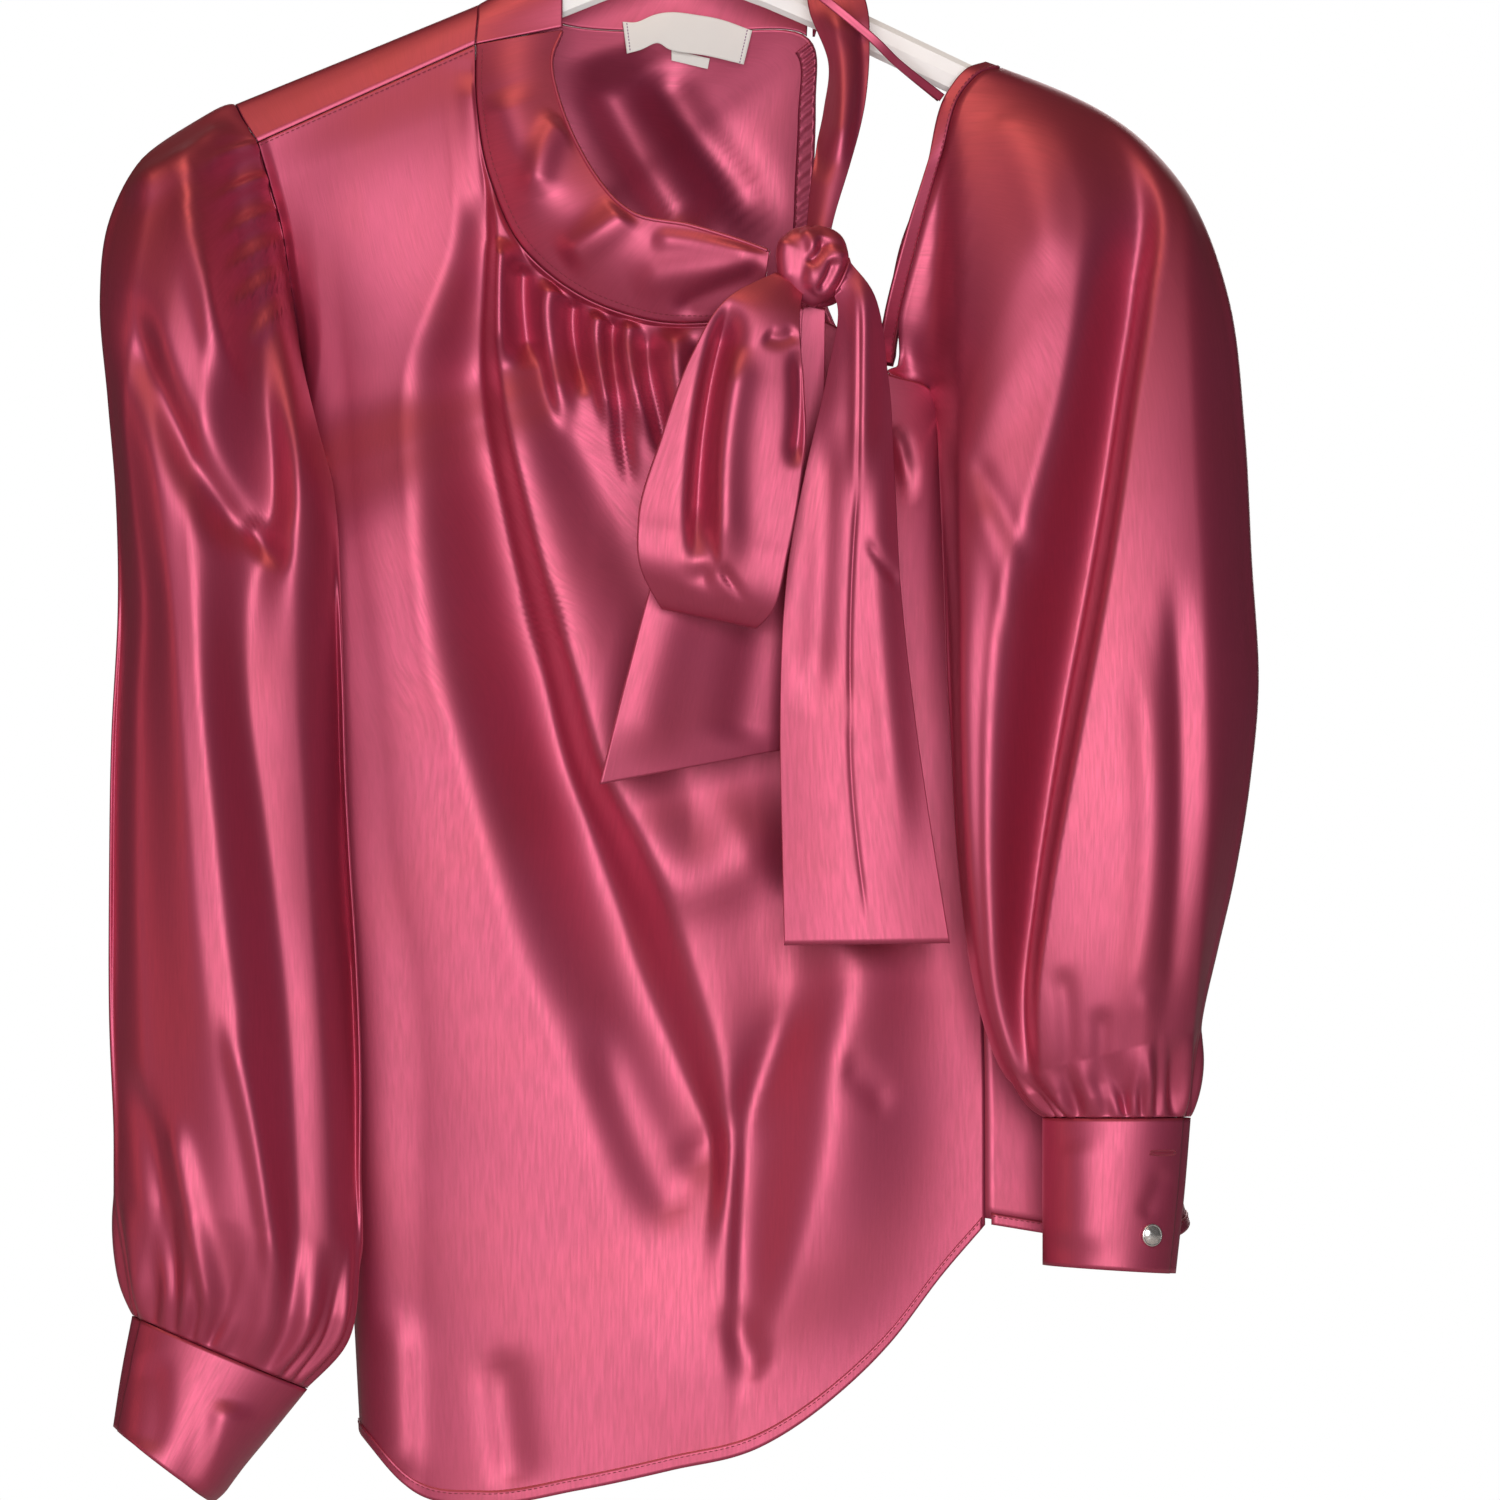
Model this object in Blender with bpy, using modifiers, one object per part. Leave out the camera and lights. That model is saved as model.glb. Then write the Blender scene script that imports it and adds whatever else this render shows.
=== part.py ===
"""Tie neck blouse in satin, hung on a one-piece plastic hanger.

Millimetres in the tables, metres in the meshes. X runs across the blouse as the viewer sees it, Y away
from the viewer, Z up. The origin is the inside top of the hanger's hook. Every cloth piece is a grid of
points worked out from the tables below, given its thickness by a Solidify modifier.
"""
import bmesh
import bpy
import numpy as np

MM = 0.001
WALL = 1.4  # thickness of a cloth wall
SEAM_GAP = 0.3  # clear space between two pieces that are sewn together
BOUND_WIDTH = 7.5  # the bound edge of the open sleeve
KNOT_CLEARANCE = 0.5

# Looks: base colour, roughness, metallic
SATIN = ((0.36, 0.03, 0.07), 0.35, 0.0)
WHITE_PLASTIC = ((0.85, 0.84, 0.82), 0.3, 0.0)
WHITE_TAPE = ((0.9, 0.88, 0.84), 0.7, 0.0)
SILVER = ((0.75, 0.74, 0.72), 0.25, 1.0)

# The two body panels share their shoulder seam, their side seams and one run of level sections. A level is
# 0 at the shoulder seam and 1 at the hem. Each section is an ellipse from the left edge to section_end.
# level, left x, left y, left z, section_end x, half depth, set back of the right end, first turn in degrees
SECTIONS = (
    (0.00, -198, -18, -163, 9, 10, 0, 60),
    (0.08, -192, -20, -183, 28, 24, 0, 50),
    (0.15, -186, -20, -206, 52, 34, 0, 45),
    (0.20, -183, -17, -227, 66, 40, 0, 38),
    (0.27, -179, -10, -258, 80, 46, 0, 30),
    (0.33, -180, 0, -293, 89, 50, 0, 20),
    (0.39, -181, 0, -326, 96, 52, 0, 8),
    (0.45, -180, 0, -359, 103, 53, 0, 0),
    (0.50, -178, 0, -397, 110, 53, 0, 0),
    (0.54, -176, 0, -425, 115, 53, 0, 0),
    (0.58, -173, 0, -453, 118, 53, 0, 0),
    (0.66, -168, 0, -509, 140, 54, 18, 0),
    (0.76, -161, 0, -580, 179, 55, 28, 0),
    (0.88, -155, 0, -674, 212, 56, 34, 0),
    (1.00, -150, 0, -767, 239, 57, 38, 0),
)
# The front's right edge: collar seam, hidden edge under the tie, underarm seam, side seam.
# level, x, z
FRONT_RIGHT = (
    (0.00, -96, -117),
    (0.08, -95, -147),
    (0.15, -89, -180),
    (0.20, -77, -208),
    (0.27, -47, -235),
    (0.33, -14, -247),
    (0.39, 16, -248),
    (0.45, 47, -243),
    (0.50, 75, -251),
    (0.54, 96, -271),
    (0.58, 118, -280),
    (0.66, 128, -359),
    (0.76, 135, -458),
    (0.88, 142, -571),
    (1.00, 143, -670),
)
# The back's left edge: over the shoulder, round the armhole, down the side seam.
# level, x, y, z
BACK_LEFT = (
    (0.00, -198, -18, -163),
    (0.03, -205, -9, -152),
    (0.06, -209, 0, -145),
    (0.09, -209, 8, -155),
    (0.13, -205, 13, -173),
    (0.18, -199, 17, -202),
    (0.26, -190, 18, -246),
    (0.33, -180, 0, -293),
    (0.39, -181, 0, -326),
    (0.45, -180, 0, -359),
    (0.50, -178, 0, -397),
    (0.54, -176, 0, -425),
    (0.58, -173, 0, -453),
    (0.66, -168, 0, -509),
    (0.76, -161, 0, -580),
    (0.88, -155, 0, -674),
    (1.00, -150, 0, -767),
)
# The back's right edge as far as the underarm: collar seam over the shoulder and across the back neck,
# then the cut-out's narrow hem. The half depth bows each section backwards.
# level, x, z, half depth
BACK_RIGHT = (
    (0.00, -96, -117, -10),
    (0.03, -95, -105, -6),
    (0.06, -94, -98, 0),
    (0.09, -86, -98, 7),
    (0.13, -68, -103, 14),
    (0.18, -47, -108, 18),
    (0.26, 9, -110, 28),
    (0.33, 60, -112, 45),
    (0.39, 64, -145, 48),
    (0.43, 63, -185, 48),
    (0.47, 64, -219, 50),
    (0.50, 74, -249, 50),
    (0.54, 96, -271, 53),
    (0.58, 118, -280, 53),
)
# How far the shirt-tail hem dips below the straight line between the side seams.
# share of the width, dip
HEM_DIP = ((0.0, 0), (0.08, 34), (0.2, 53), (0.35, 61), (0.5, 66), (0.64, 69), (0.76, 57), (0.85, 40),
           (0.93, 17), (1.0, 0))

BACK_HEM_DIP = ((0.0, 0), (0.06, 23), (0.14, 41), (0.26, 47), (0.43, 48), (0.53, 43), (0.6, 26), (0.67, 2),
                (0.75, -25), (0.82, -13), (0.89, 2), (0.95, 4), (1.0, 0))

# Folds are soft ridges along a bowed line, each side with its own width. A trough has a negative height.
# start x, start z, middle x, middle z, end x, end z, width to its left, width to its right, height
FRONT_FOLDS = (
    (-91, -206, -65, -366, 5, -515, 10, 40, 13),
    (-113, -251, -89, -434, 9, -618, 26, 20, -13),
    (-132, -274, -135, -472, -132, -707, 30, 30, 6),
    (-79, -265, -61, -333, -26, -420, 9, 11, -4),
    (-42, -571, -19, -636, 5, -669, 16, 10, -6),
    (56, -554, 31, -613, -9, -650, 10, 14, -7),
    (75, -545, 62, -618, 42, -702, 18, 12, -10),
    (106, -547, 94, -594, 73, -660, 12, 20, 6),
    (-28, -683, 5, -693, 38, -674, 24, 24, 7),
    (-132, -707, -131, -754, -130, -791, 14, 10, 4),
    (-85, -721, -81, -763, -75, -796, 10, 16, -4),
    (22, -707, 31, -728, 39, -740, 8, 8, -3),
    (-81, -209, -85, -237, -85, -274, 8, 9, 8),
    (-71, -219, -72, -242, -63, -279, 8, 8, -7),
    (-58, -230, -59, -260, -45, -317, 8, 10, 6),
    (-41, -237, -43, -260, -31, -303, 8, 9, -6),
    (-27, -244, -28, -270, -12, -317, 8, 9, 6),
    (-9, -247, -8, -277, 5, -312, 9, 9, -7),
    (10, -251, 14, -284, 20, -331, 9, 9, 5),
    (32, -249, 34, -284, 37, -331, 9, 9, -5),
    (99, -296, 103, -310, 109, -326, 8, 8, -4),
)
BACK_FOLDS = (
    (-56, -124, -66, -293, -99, -519, 22, 30, 8),
    (5, -133, 0, -331, -19, -613, 26, 26, -9),
    (42, -152, 47, -378, 56, -660, 20, 30, 8),
    (-122, -213, -127, -472, -118, -744, 24, 24, -8),
    (94, -321, 118, -472, 132, -679, 24, 24, -9),
    (150, -425, 174, -542, 188, -674, 20, 20, 7),
    (-56, -519, -47, -636, -42, -791, 26, 22, 8),
    (19, -566, 24, -660, 26, -782, 20, 24, -7),
    (-160, -378, -146, -519, -143, -707, 16, 20, 6),
)

# Sleeves are rings between an outer and an inner point, flattened front to back. Share 0 is the armhole.
# share, outer x, outer y, outer z, inner x, inner y, inner z, half depth
SET_IN_RINGS = (
    (0.00, -209, 0, -145, -180, 0, -296, 18),
    (0.04, -220, -3, -144, -183, -5, -304, 30),
    (0.08, -235, -8, -156, -184, -15, -313, 40),
    (0.13, -253, -14, -172, -180, -30, -327, 46),
    (0.19, -267, -22, -200, -174, -42, -344, 48),
    (0.26, -271, -32, -237, -167, -50, -365, 48),
    (0.34, -267, -42, -284, -161, -53, -392, 46),
    (0.42, -263, -48, -331, -158, -54, -423, 44),
    (0.50, -262, -52, -383, -157, -54, -460, 42),
    (0.58, -265, -54, -444, -154, -54, -498, 40),
    (0.66, -266, -54, -509, -151, -54, -545, 39),
    (0.74, -266, -54, -571, -149, -54, -596, 39),
    (0.82, -264, -54, -622, -149, -54, -643, 38),
    (0.90, -263, -54, -667, -149, -54, -692, 37),
    (0.95, -259, -54, -694, -155, -54, -723, 33),
    (1.00, -255, -54, -712, -174, -54, -746, 25),
)
SET_IN_FOLDS = (
    (-263, -190, -229, -171, -207, -156, 10, 10, 6),
    (-219, -171, -219, -223, -196, -303, 10, 5, 9),
    (-211, -185, -207, -218, -196, -251, 8, 8, -9),
    (-263, -211, -229, -296, -202, -352, 14, 12, -10),
    (-188, -246, -187, -298, -187, -359, 8, 8, -8),
    (-170, -232, -170, -293, -168, -359, 10, 10, 6),
    (-259, -279, -233, -401, -207, -613, 10, 18, 8),
    (-211, -378, -207, -495, -186, -660, 12, 16, -10),
    (-179, -397, -172, -519, -164, -669, 16, 14, 7),
    (-254, -425, -249, -566, -237, -683, 12, 12, -5),
)
SET_IN_BACK_FOLDS = (
    (-249, -218, -240, -378, -226, -636, 14, 16, 8),
    (-219, -237, -212, -425, -204, -660, 12, 12, -9),
    (-193, -293, -186, -472, -179, -669, 14, 14, 7),
)
# Below its armhole loop the open sleeve hangs in front of the body.
OPEN_RINGS = (
    (0.00, 144, 0, -125, 118, -2, -282, 34),
    (0.05, 160, 0, -131, 128, -2, -286, 40),
    (0.11, 187, 0, -142, 133, -14, -298, 46),
    (0.17, 216, -2, -161, 131, -32, -321, 46),
    (0.23, 240, -12, -190, 127, -47, -345, 42),
    (0.30, 257, -28, -237, 126, -58, -376, 40),
    (0.38, 264, -44, -298, 126, -65, -411, 39),
    (0.46, 267, -56, -359, 127, -68, -448, 39),
    (0.54, 270, -64, -415, 129, -70, -486, 39),
    (0.62, 266, -69, -462, 132, -71, -519, 38),
    (0.70, 259, -71, -505, 136, -71, -549, 37),
    (0.78, 251, -71, -540, 142, -71, -575, 35),
    (0.86, 244, -71, -571, 150, -71, -596, 32),
    (0.93, 241, -71, -595, 161, -71, -611, 28),
    (1.00, 238, -71, -619, 170, -71, -619, 24),
)
# The open sleeve's edge, from the top over the front to the underarm seam, and the same behind.
# share of the half turn, x, y, z
OPEN_FRONT_EDGE = ((0.0, 144, 0, -125), (0.06, 134, -8, -129), (0.12, 126, -13, -139), (0.28, 116, -27, -173),
                   (0.48, 105, -36, -209), (0.66, 96, -36, -245), (0.76, 94, -33, -260))
OPEN_BACK_EDGE = ((0.0, 144, 0, -125), (0.06, 135, 8, -129), (0.12, 127, 13, -139), (0.28, 115, 27, -180),
                  (0.48, 103, 34, -213), (0.66, 97, 34, -246), (0.76, 95, 31, -260))
OPEN_FOLDS = (
    (132, -157, 131, -321, 133, -547, 3, 22, 9),
    (124, -157, 122, -321, 125, -519, 6, 7, -9),
    (216, -190, 197, -321, 155, -566, 20, 6, -12),
    (227, -173, 208, -307, 167, -556, 5, 34, 12),
    (240, -185, 246, -378, 241, -585, 8, 7, -8),
    (251, -218, 259, -359, 251, -500, 10, 12, 5),
    (134, -307, 150, -336, 165, -365, 6, 6, -3),
    (212, -387, 214, -495, 202, -585, 10, 10, 4),
)
OPEN_BACK_FOLDS = (
    (150, -213, 146, -378, 160, -566, 14, 16, 8),
    (193, -204, 193, -378, 188, -575, 14, 14, -9),
    (230, -218, 235, -378, 216, -566, 14, 16, 8),
)
# share along the cuff, outer x, outer y, outer z, inner x, inner y, inner z, half depth
LEFT_CUFF_RINGS = (
    (0.0, -255, -54, -712, -174, -54, -746, 25),
    (0.5, -260, -54, -738, -196, -54, -773, 30),
    (1.0, -264, -54, -764, -218, -54, -799, 33),
)
RIGHT_CUFF_RINGS = (
    (0.0, 238, -71, -619, 170, -71, -619, 24),
    (0.5, 235, -71, -655, 170, -71, -654, 25),
    (1.0, 231, -71, -692, 170, -71, -688, 26),
)

# The collar band's free edge, along the front from the shoulder to the knot and across the back.
# share, x, y, z
COLLAR_FRONT_EDGE = (
    (0.00, -55, -13, -110),
    (0.13, -60, -22, -127),
    (0.25, -54, -32, -151),
    (0.40, -39, -44, -180),
    (0.55, -22, -52, -197),
    (0.72, 5, -56, -203),
    (0.87, 28, -59, -210),
    (1.00, 44, -62, -216),
)
COLLAR_BACK_EDGE = (
    (0.00, -55, -11, -109),
    (0.10, -55, -6, -90),
    (0.20, -55, 3, -75),
    (0.32, -46, 14, -67),
    (0.50, -19, 22, -64),
    (0.75, 24, 26, -65),
    (1.00, 62, 26, -72),
)
# Flat bands are rows from a left point to a right point.
# share, left x, left y, left z, right x, right y, right z, crown towards the viewer
TIE_BAND_ROWS = (
    (0.00, 63, 22, -112, 63, 22, -72, 0),
    (0.09, 66, 14, -100, 68, 15, -70, 0),
    (0.16, 65, 2, -89, 72, 3, -69, 0),
    (0.22, 61, -8, -90, 78, -7, -79, 1),
    (0.34, 61, -20, -102, 87, -20, -96, 2),
    (0.48, 70, -32, -126, 89, -30, -118, 3),
    (0.62, 68, -40, -148, 87, -42, -145, 4),
    (0.78, 63, -50, -173, 80, -54, -173, 4),
    (0.92, 60, -60, -202, 72, -64, -200, 3),
    (1.00, 59, -68, -216, 69, -70, -214, 2),
)
BOW_LOOP_ROWS = (
    (0.00, 48, -76, -229, 59, -74, -233, 0),
    (0.08, 31, -76, -239, 57, -76, -251, 1),
    (0.20, 11, -78, -258, 57, -78, -279, 2),
    (0.32, -3, -80, -298, 56, -80, -307, 2),
    (0.42, -15, -82, -340, 51, -82, -352, 2),
    (0.47, -16, -86, -366, 42, -86, -382, 1),
    (0.50, -8, -96, -382, 36, -96, -391, 0),
    (0.53, -16, -106, -368, 43, -106, -384, 2),
    (0.60, -19, -112, -341, 51, -112, -355, 6),
    (0.70, -8, -114, -302, 58, -114, -313, 8),
    (0.82, 6, -112, -264, 58, -112, -280, 8),
    (0.93, 24, -102, -237, 56, -100, -246, 6),
    (1.00, 45, -88, -226, 58, -86, -232, 2),
)
FRONT_TAIL_ROWS = (
    (0.00, 69, -84, -230, 78, -82, -219, 1),
    (0.06, 74, -86, -242, 90, -84, -235, 3),
    (0.16, 69, -86, -274, 97, -82, -274, 6),
    (0.30, 59, -86, -317, 100, -80, -320, 6),
    (0.48, 50, -86, -368, 103, -80, -373, 5),
    (0.68, 47, -84, -434, 110, -80, -435, 4),
    (0.85, 48, -82, -495, 118, -80, -489, 4),
    (1.00, 49, -82, -539, 126, -80, -538, 4),
)
BACK_TAIL_ROWS = (
    (0.00, 50, -70, -237, 68, -70, -242, 0),
    (0.20, 24, -72, -284, 67, -72, -293, 1),
    (0.50, -9, -73, -359, 56, -73, -373, 2),
    (0.75, -24, -73, -412, 50, -73, -420, 2),
    (1.00, -37, -73, -464, 47, -72, -448, 2),
)
LOOP_FOLDS = (
    (26, -237, 12, -294, 8, -359, 5, 7, -11),
    (46, -258, 47, -289, 42, -317, 8, 10, -6),
    (29, -258, 20, -307, 20, -359, 5, 8, 4),
)
FRONT_TAIL_FOLDS = (
    (84, -237, 83, -319, 81, -378, 5, 6, 4),
    (79, -397, 81, -457, 88, -535, 5, 5, 3),
    (70, -293, 67, -359, 61, -434, 8, 8, -3),
)
RIBBON_WIDTH = 4
# The hanging loop's run from the sleeve to the hook's stem.
# share, x, y, z
RIBBON_FRONT = ((0.0, 123, -16.5, -142), (0.25, 103, -32, -127), (0.5, 88, -40, -113), (0.7, 62, -38, -92),
                (0.88, 30, -14, -68), (1.0, 9, -5.2, -54))
RIBBON_BACK = ((0.0, 9, 5.2, -54), (0.2, 30, -8, -68), (0.42, 62, -35.6, -92), (0.62, 88, -37.6, -113),
               (0.82, 103, -29.6, -127), (1.0, 122, -14, -142))

# Hanger: the arms' top edge from the middle outwards.
# share, x, z
LEFT_ARM = ((0.0, 0, -67), (0.3, -56, -86), (0.55, -106, -110), (0.8, -164, -133), (1.0, -206, -152))
RIGHT_ARM = ((0.0, 0, -67), (0.25, 52, -86), (0.5, 106, -111), (0.75, 164, -139), (1.0, 208, -162))
ARM_HEIGHT = 17
ARM_DEPTH = 9
HOOK_WIRE = 3.5  # its radius
HOOK_BEND = 22  # inside radius of the bend
HOOK_STEM_FOOT = -72

KNOT_MIDDLE = (62, -78, -223)
KNOT_HALF = (17, 14, 19)
BUTTON_RADIUS = 5.3
# turn round the cuff, share down it, height of the button's back above the middle of the cuff's wall
RIGHT_BUTTON = (0.98, 0.76, 1.0)
LEFT_BUTTON = (5.6, 0.76, 1.6)
UNDERARM_TURN = 0.5  # half the turn along which the open sleeve is sewn to the body
# top left, top right, bottom left, bottom right, each x and z
LABEL_CORNERS = ((-26, -105), (34, -108), (-25, -120), (31, -125))
TAB_CORNERS = ((-3, -125), (14, -125), (-4, -128), (13, -130))
HEM_POWER = 3.5  # how quickly the hem's dip dies out upwards
BACK_CORNER_DIP = 9
RIDGE_LEVEL = 0.06  # where the back crosses the shoulder's ridge
SIDE_SEAM_TOP = 0.33
ARMPIT_LEVEL = 0.54
UNDERARM_LEVEL = 0.58
COLLAR_LEVEL = 0.44  # where the front collar goes under the knot
STRIP_SHARE = 0.15
ARMHOLE_BLEND = 0.13
CUFF_GATHERS = 11
CUFF_GATHER_HEIGHT = 2.2
CUFF_START = 0.45  # where round the wrist the cuff's upper end is, in radians
CUFF_STEP = 2.6
CUFF_OVERLAP = 0.4
BOUND_WALL = 2.2
RIBBON_WALL = 1.0
LABEL_WALL = 1.0
FLAT_BEHIND = 0.4  # how much of its depth a sleeve keeps where it passes behind
NECK_END = 0.33  # level at which the back's neck seam ends


def through(table, at):
    """Values of a smooth curve through a table's rows, whose first column is the parameter."""
    rows = np.array(table, float)
    knots, values = rows[:, 0], rows[:, 1:]
    slopes = np.gradient(values, knots, axis=0)
    at = np.clip(np.asarray(at, float), knots[0], knots[-1])
    k = np.clip(np.searchsorted(knots, at, side="right") - 1, 0, len(knots) - 2)
    span = (knots[k + 1] - knots[k])[..., None]
    t = (at - knots[k])[..., None] / span
    start = (2 * t**3 - 3 * t**2 + 1) * values[k] + (t**3 - 2 * t**2 + t) * span * slopes[k]
    end = (3 * t**2 - 2 * t**3) * values[k + 1] + (t**3 - t**2) * span * slopes[k + 1]
    return start + end


def columns(table, at):
    """The same values, one array for each column."""
    return np.moveaxis(through(table, at), -1, 0)


def smooth(value):
    """An S curve from 0 to 1."""
    value = np.clip(value, 0, 1)
    return value * value * (3 - 2 * value)


def relief(x, z, folds):
    """The sum of soft ridges: a bell on each side of a bowed line, tapered to nothing at its ends."""
    total = np.zeros_like(x)
    t = np.linspace(0, 1, 41)
    for x0, z0, x1, z1, x2, z2, left, right, height in folds:
        line_x = x0 * (1 - t) * (1 - 2 * t) + x1 * 4 * t * (1 - t) + x2 * t * (2 * t - 1)
        line_z = z0 * (1 - t) * (1 - 2 * t) + z1 * 4 * t * (1 - t) + z2 * t * (2 * t - 1)
        dx = x[..., None] - line_x
        dz = z[..., None] - line_z
        near = (dx**2 + dz**2).argmin(-1)[..., None]
        dx = np.take_along_axis(dx, near, -1)[..., 0]
        dz = np.take_along_axis(dz, near, -1)[..., 0]
        near = near[..., 0]
        side = np.gradient(line_x)[near] * dz - np.gradient(line_z)[near] * dx
        width = np.where(side < 0, left, right)
        taper = smooth(np.minimum(t[near], 1 - t[near]) / 0.22)
        total += height * taper * np.exp(-(dx**2 + dz**2) / width**2)
    return total


def along_section(across, level, left, right_x, depth, last_turn):
    """x, y, the share of the width and the turn along a body section, an arc of a flattened ellipse."""
    left_x, left_y = left
    end_x, set_back, first = columns(SECTIONS, level)[[3, 5, 6]]
    first = np.radians(first)
    half = (end_x - left_x) / (1 + np.cos(first))
    middle = end_x - half
    last = np.arccos(np.clip((middle - right_x) / half, -1, 1))
    turn = first + across * (last_turn(last) - first)
    x = middle - half * np.cos(turn)
    share = (x - left_x) / (end_x - left_x)
    y = (left_y - depth * np.sin(first)) * (1 - share) + depth * np.sin(turn)
    y = y + set_back * np.clip(share, 0, 1) ** 1.5
    wide = np.where(turn > np.pi, end_x, x)
    reach = np.where(last_turn(last) > np.pi, end_x, right_x)
    return x, y, (wide - left_x) / (reach - left_x), turn


def edge_fade(across, left, right):
    """0 on a panel's side edges and 1 inside them, so that folds die out at a seam."""
    return smooth(across / left) * smooth((1 - across) / right)


def front(across, level):
    """A point of the front: across runs from the left seam to the collar or the right seam."""
    left_x, left_y, left_z = columns(SECTIONS, level)[:3]
    depth = columns(SECTIONS, level)[4]
    right_x, right_z = columns(FRONT_RIGHT, level)
    x, y, share, _ = along_section(across, level, (left_x, left_y), right_x, -depth, lambda last: last)
    z = left_z + (right_z - left_z) * share - columns(HEM_DIP, share)[0] * level**HEM_POWER
    y = y - relief(x, z, FRONT_FOLDS) * edge_fade(across, 0.08, np.where(level > 0.5, 0.2, 0.035))
    return np.stack([x, y, z], -1)


def back(across, level):
    """The back, which comes forward over the shoulder and round the right end of the body.

    Each row of the two arrays is one level, and its last column is where across is greatest.
    """
    side_seam = level >= SIDE_SEAM_TOP
    left_x, left_y, left_z = np.where(side_seam, columns(SECTIONS, level)[:3], columns(BACK_LEFT, level))
    right_x, right_z, depth = columns(BACK_RIGHT, level)
    below = level > UNDERARM_LEVEL
    seam_x, seam_z = columns(FRONT_RIGHT, level)
    right_x = np.where(below, seam_x, right_x)
    right_z = np.where(below, seam_z, right_z)
    depth = np.where(below, columns(SECTIONS, level)[4], depth)
    wrap = smooth((level - ARMPIT_LEVEL) / (UNDERARM_LEVEL - ARMPIT_LEVEL))

    def last_turn(last):
        return last + wrap * (2 * np.pi - 2 * last)

    x, y, share, turn = along_section(across, level, (left_x, left_y), right_x, depth, last_turn)
    past_end = np.clip(turn - np.pi, 0, None) / np.maximum(turn[:, -1:] - np.pi, 0.01)
    dip = columns(BACK_HEM_DIP, share)[0] + BACK_CORNER_DIP * np.sin(np.pi * np.clip(past_end, 0, 1))
    z = left_z + (right_z - left_z) * share - dip * level**HEM_POWER
    y = y + relief(x, z, BACK_FOLDS) * edge_fade(across, 0.08, 0.08) * (turn < np.pi)
    return np.stack([x, y, z], -1)


def set_in_armhole(turn):
    """The armhole of the left sleeve, from the shoulder's ridge over the front to the underarm and back."""
    forward = np.clip(turn / np.pi, 0, 1)
    behind = np.clip(2 - turn / np.pi, 0, 1)
    strip = back(0 * turn, RIDGE_LEVEL * (1 - np.clip(forward / STRIP_SHARE, 0, 1)))
    chest = front(0 * turn, SIDE_SEAM_TOP * np.clip((forward - STRIP_SHARE) / (1 - STRIP_SHARE), 0, 1))
    rear = back(0 * turn, RIDGE_LEVEL + (SIDE_SEAM_TOP - RIDGE_LEVEL) * behind)
    before = np.where((forward < STRIP_SHARE)[..., None], strip, chest)
    return np.where((turn <= np.pi)[..., None], before, rear)


def open_armhole(turn):
    """The open sleeve's edge, from its top over the front to the underarm seam and up behind."""
    seam = ((0.84, 0.54), (0.92, 0.56), (1.0, 0.58))
    before = OPEN_FRONT_EDGE + tuple((w, *front(np.ones((1, 1)), np.full((1, 1), v))[0, 0]) for w, v in seam)
    behind = OPEN_BACK_EDGE + tuple((w, *back(np.ones((1, 1)), np.full((1, 1), v))[0, 0]) for w, v in seam)
    share = turn / np.pi
    forward = through(before, share)
    return np.where((share <= 1)[..., None], forward, through(behind, 2 - share))


def ring(turn, share, rings, flat_behind):
    """A point of a sleeve's or cuff's flattened ring, and its outward direction.

    Behind, the ring is flatter towards its inner end, where it passes the body.
    """
    outer_x, outer_y, outer_z, inner_x, inner_y, inner_z, depth = columns(rings, share)
    reach_x, reach_z = (outer_x - inner_x) / 2, (outer_z - inner_z) / 2
    reach = np.hypot(reach_x, reach_z)
    c, s = np.cos(turn), np.sin(turn)
    outer_share = (1 + c) / 2
    depth = depth * np.where(s < 0, flat_behind + (1 - flat_behind) * outer_share, 1)
    y = outer_y * outer_share + inner_y * (1 - outer_share) - depth * s
    point = np.stack([inner_x + reach_x * (1 + c), y, inner_z + reach_z * (1 + c)], -1)
    out = np.stack([reach_x / reach * c * depth, -s * reach, reach_z / reach * c * depth], -1)
    return point, out / np.linalg.norm(out, axis=-1, keepdims=True)


def sleeve(turn, share, rings, armhole, folds, back_folds):
    """A point of a sleeve: its armhole blends into rings, with folds and the gathers above the cuff."""
    point, out = ring(turn, share, rings, 1 - (1 - FLAT_BEHIND) * smooth((share - 0.06) / 0.14))
    blend = smooth(share / ARMHOLE_BLEND)[..., None]
    point = armhole(turn) * (1 - blend) + point * blend
    s = np.sin(turn)
    height = relief(point[..., 0], point[..., 2], folds) * smooth(s / 0.4)
    height = height + relief(point[..., 0], point[..., 2], back_folds) * smooth(-s / 0.4)
    height = height * smooth(share / 0.05) * smooth((1 - share) / 0.06)
    wave = np.cos(CUFF_GATHERS * turn + 0.9 * np.sin(3 * turn))
    height = height + CUFF_GATHER_HEIGHT * wave * np.sin(np.pi * np.clip((1 - share) / 0.12, 0, 1))
    return point + out * height[..., None]


def set_in_sleeve(turn, share):
    return sleeve(turn, share, SET_IN_RINGS, set_in_armhole, SET_IN_FOLDS, SET_IN_BACK_FOLDS)


def open_sleeve(turn, share):
    return sleeve(turn, share, OPEN_RINGS, open_armhole, OPEN_FOLDS, OPEN_BACK_FOLDS)


def cuff(turn, share, rings):
    """A point of a cuff, whose under end is drawn in beneath its upper end."""
    point, out = ring(turn, share, rings, FLAT_BEHIND)
    under = smooth((turn - CUFF_START - 2 * np.pi + 0.5) / 0.4)
    return point - out * (CUFF_STEP * under)[..., None]


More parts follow.
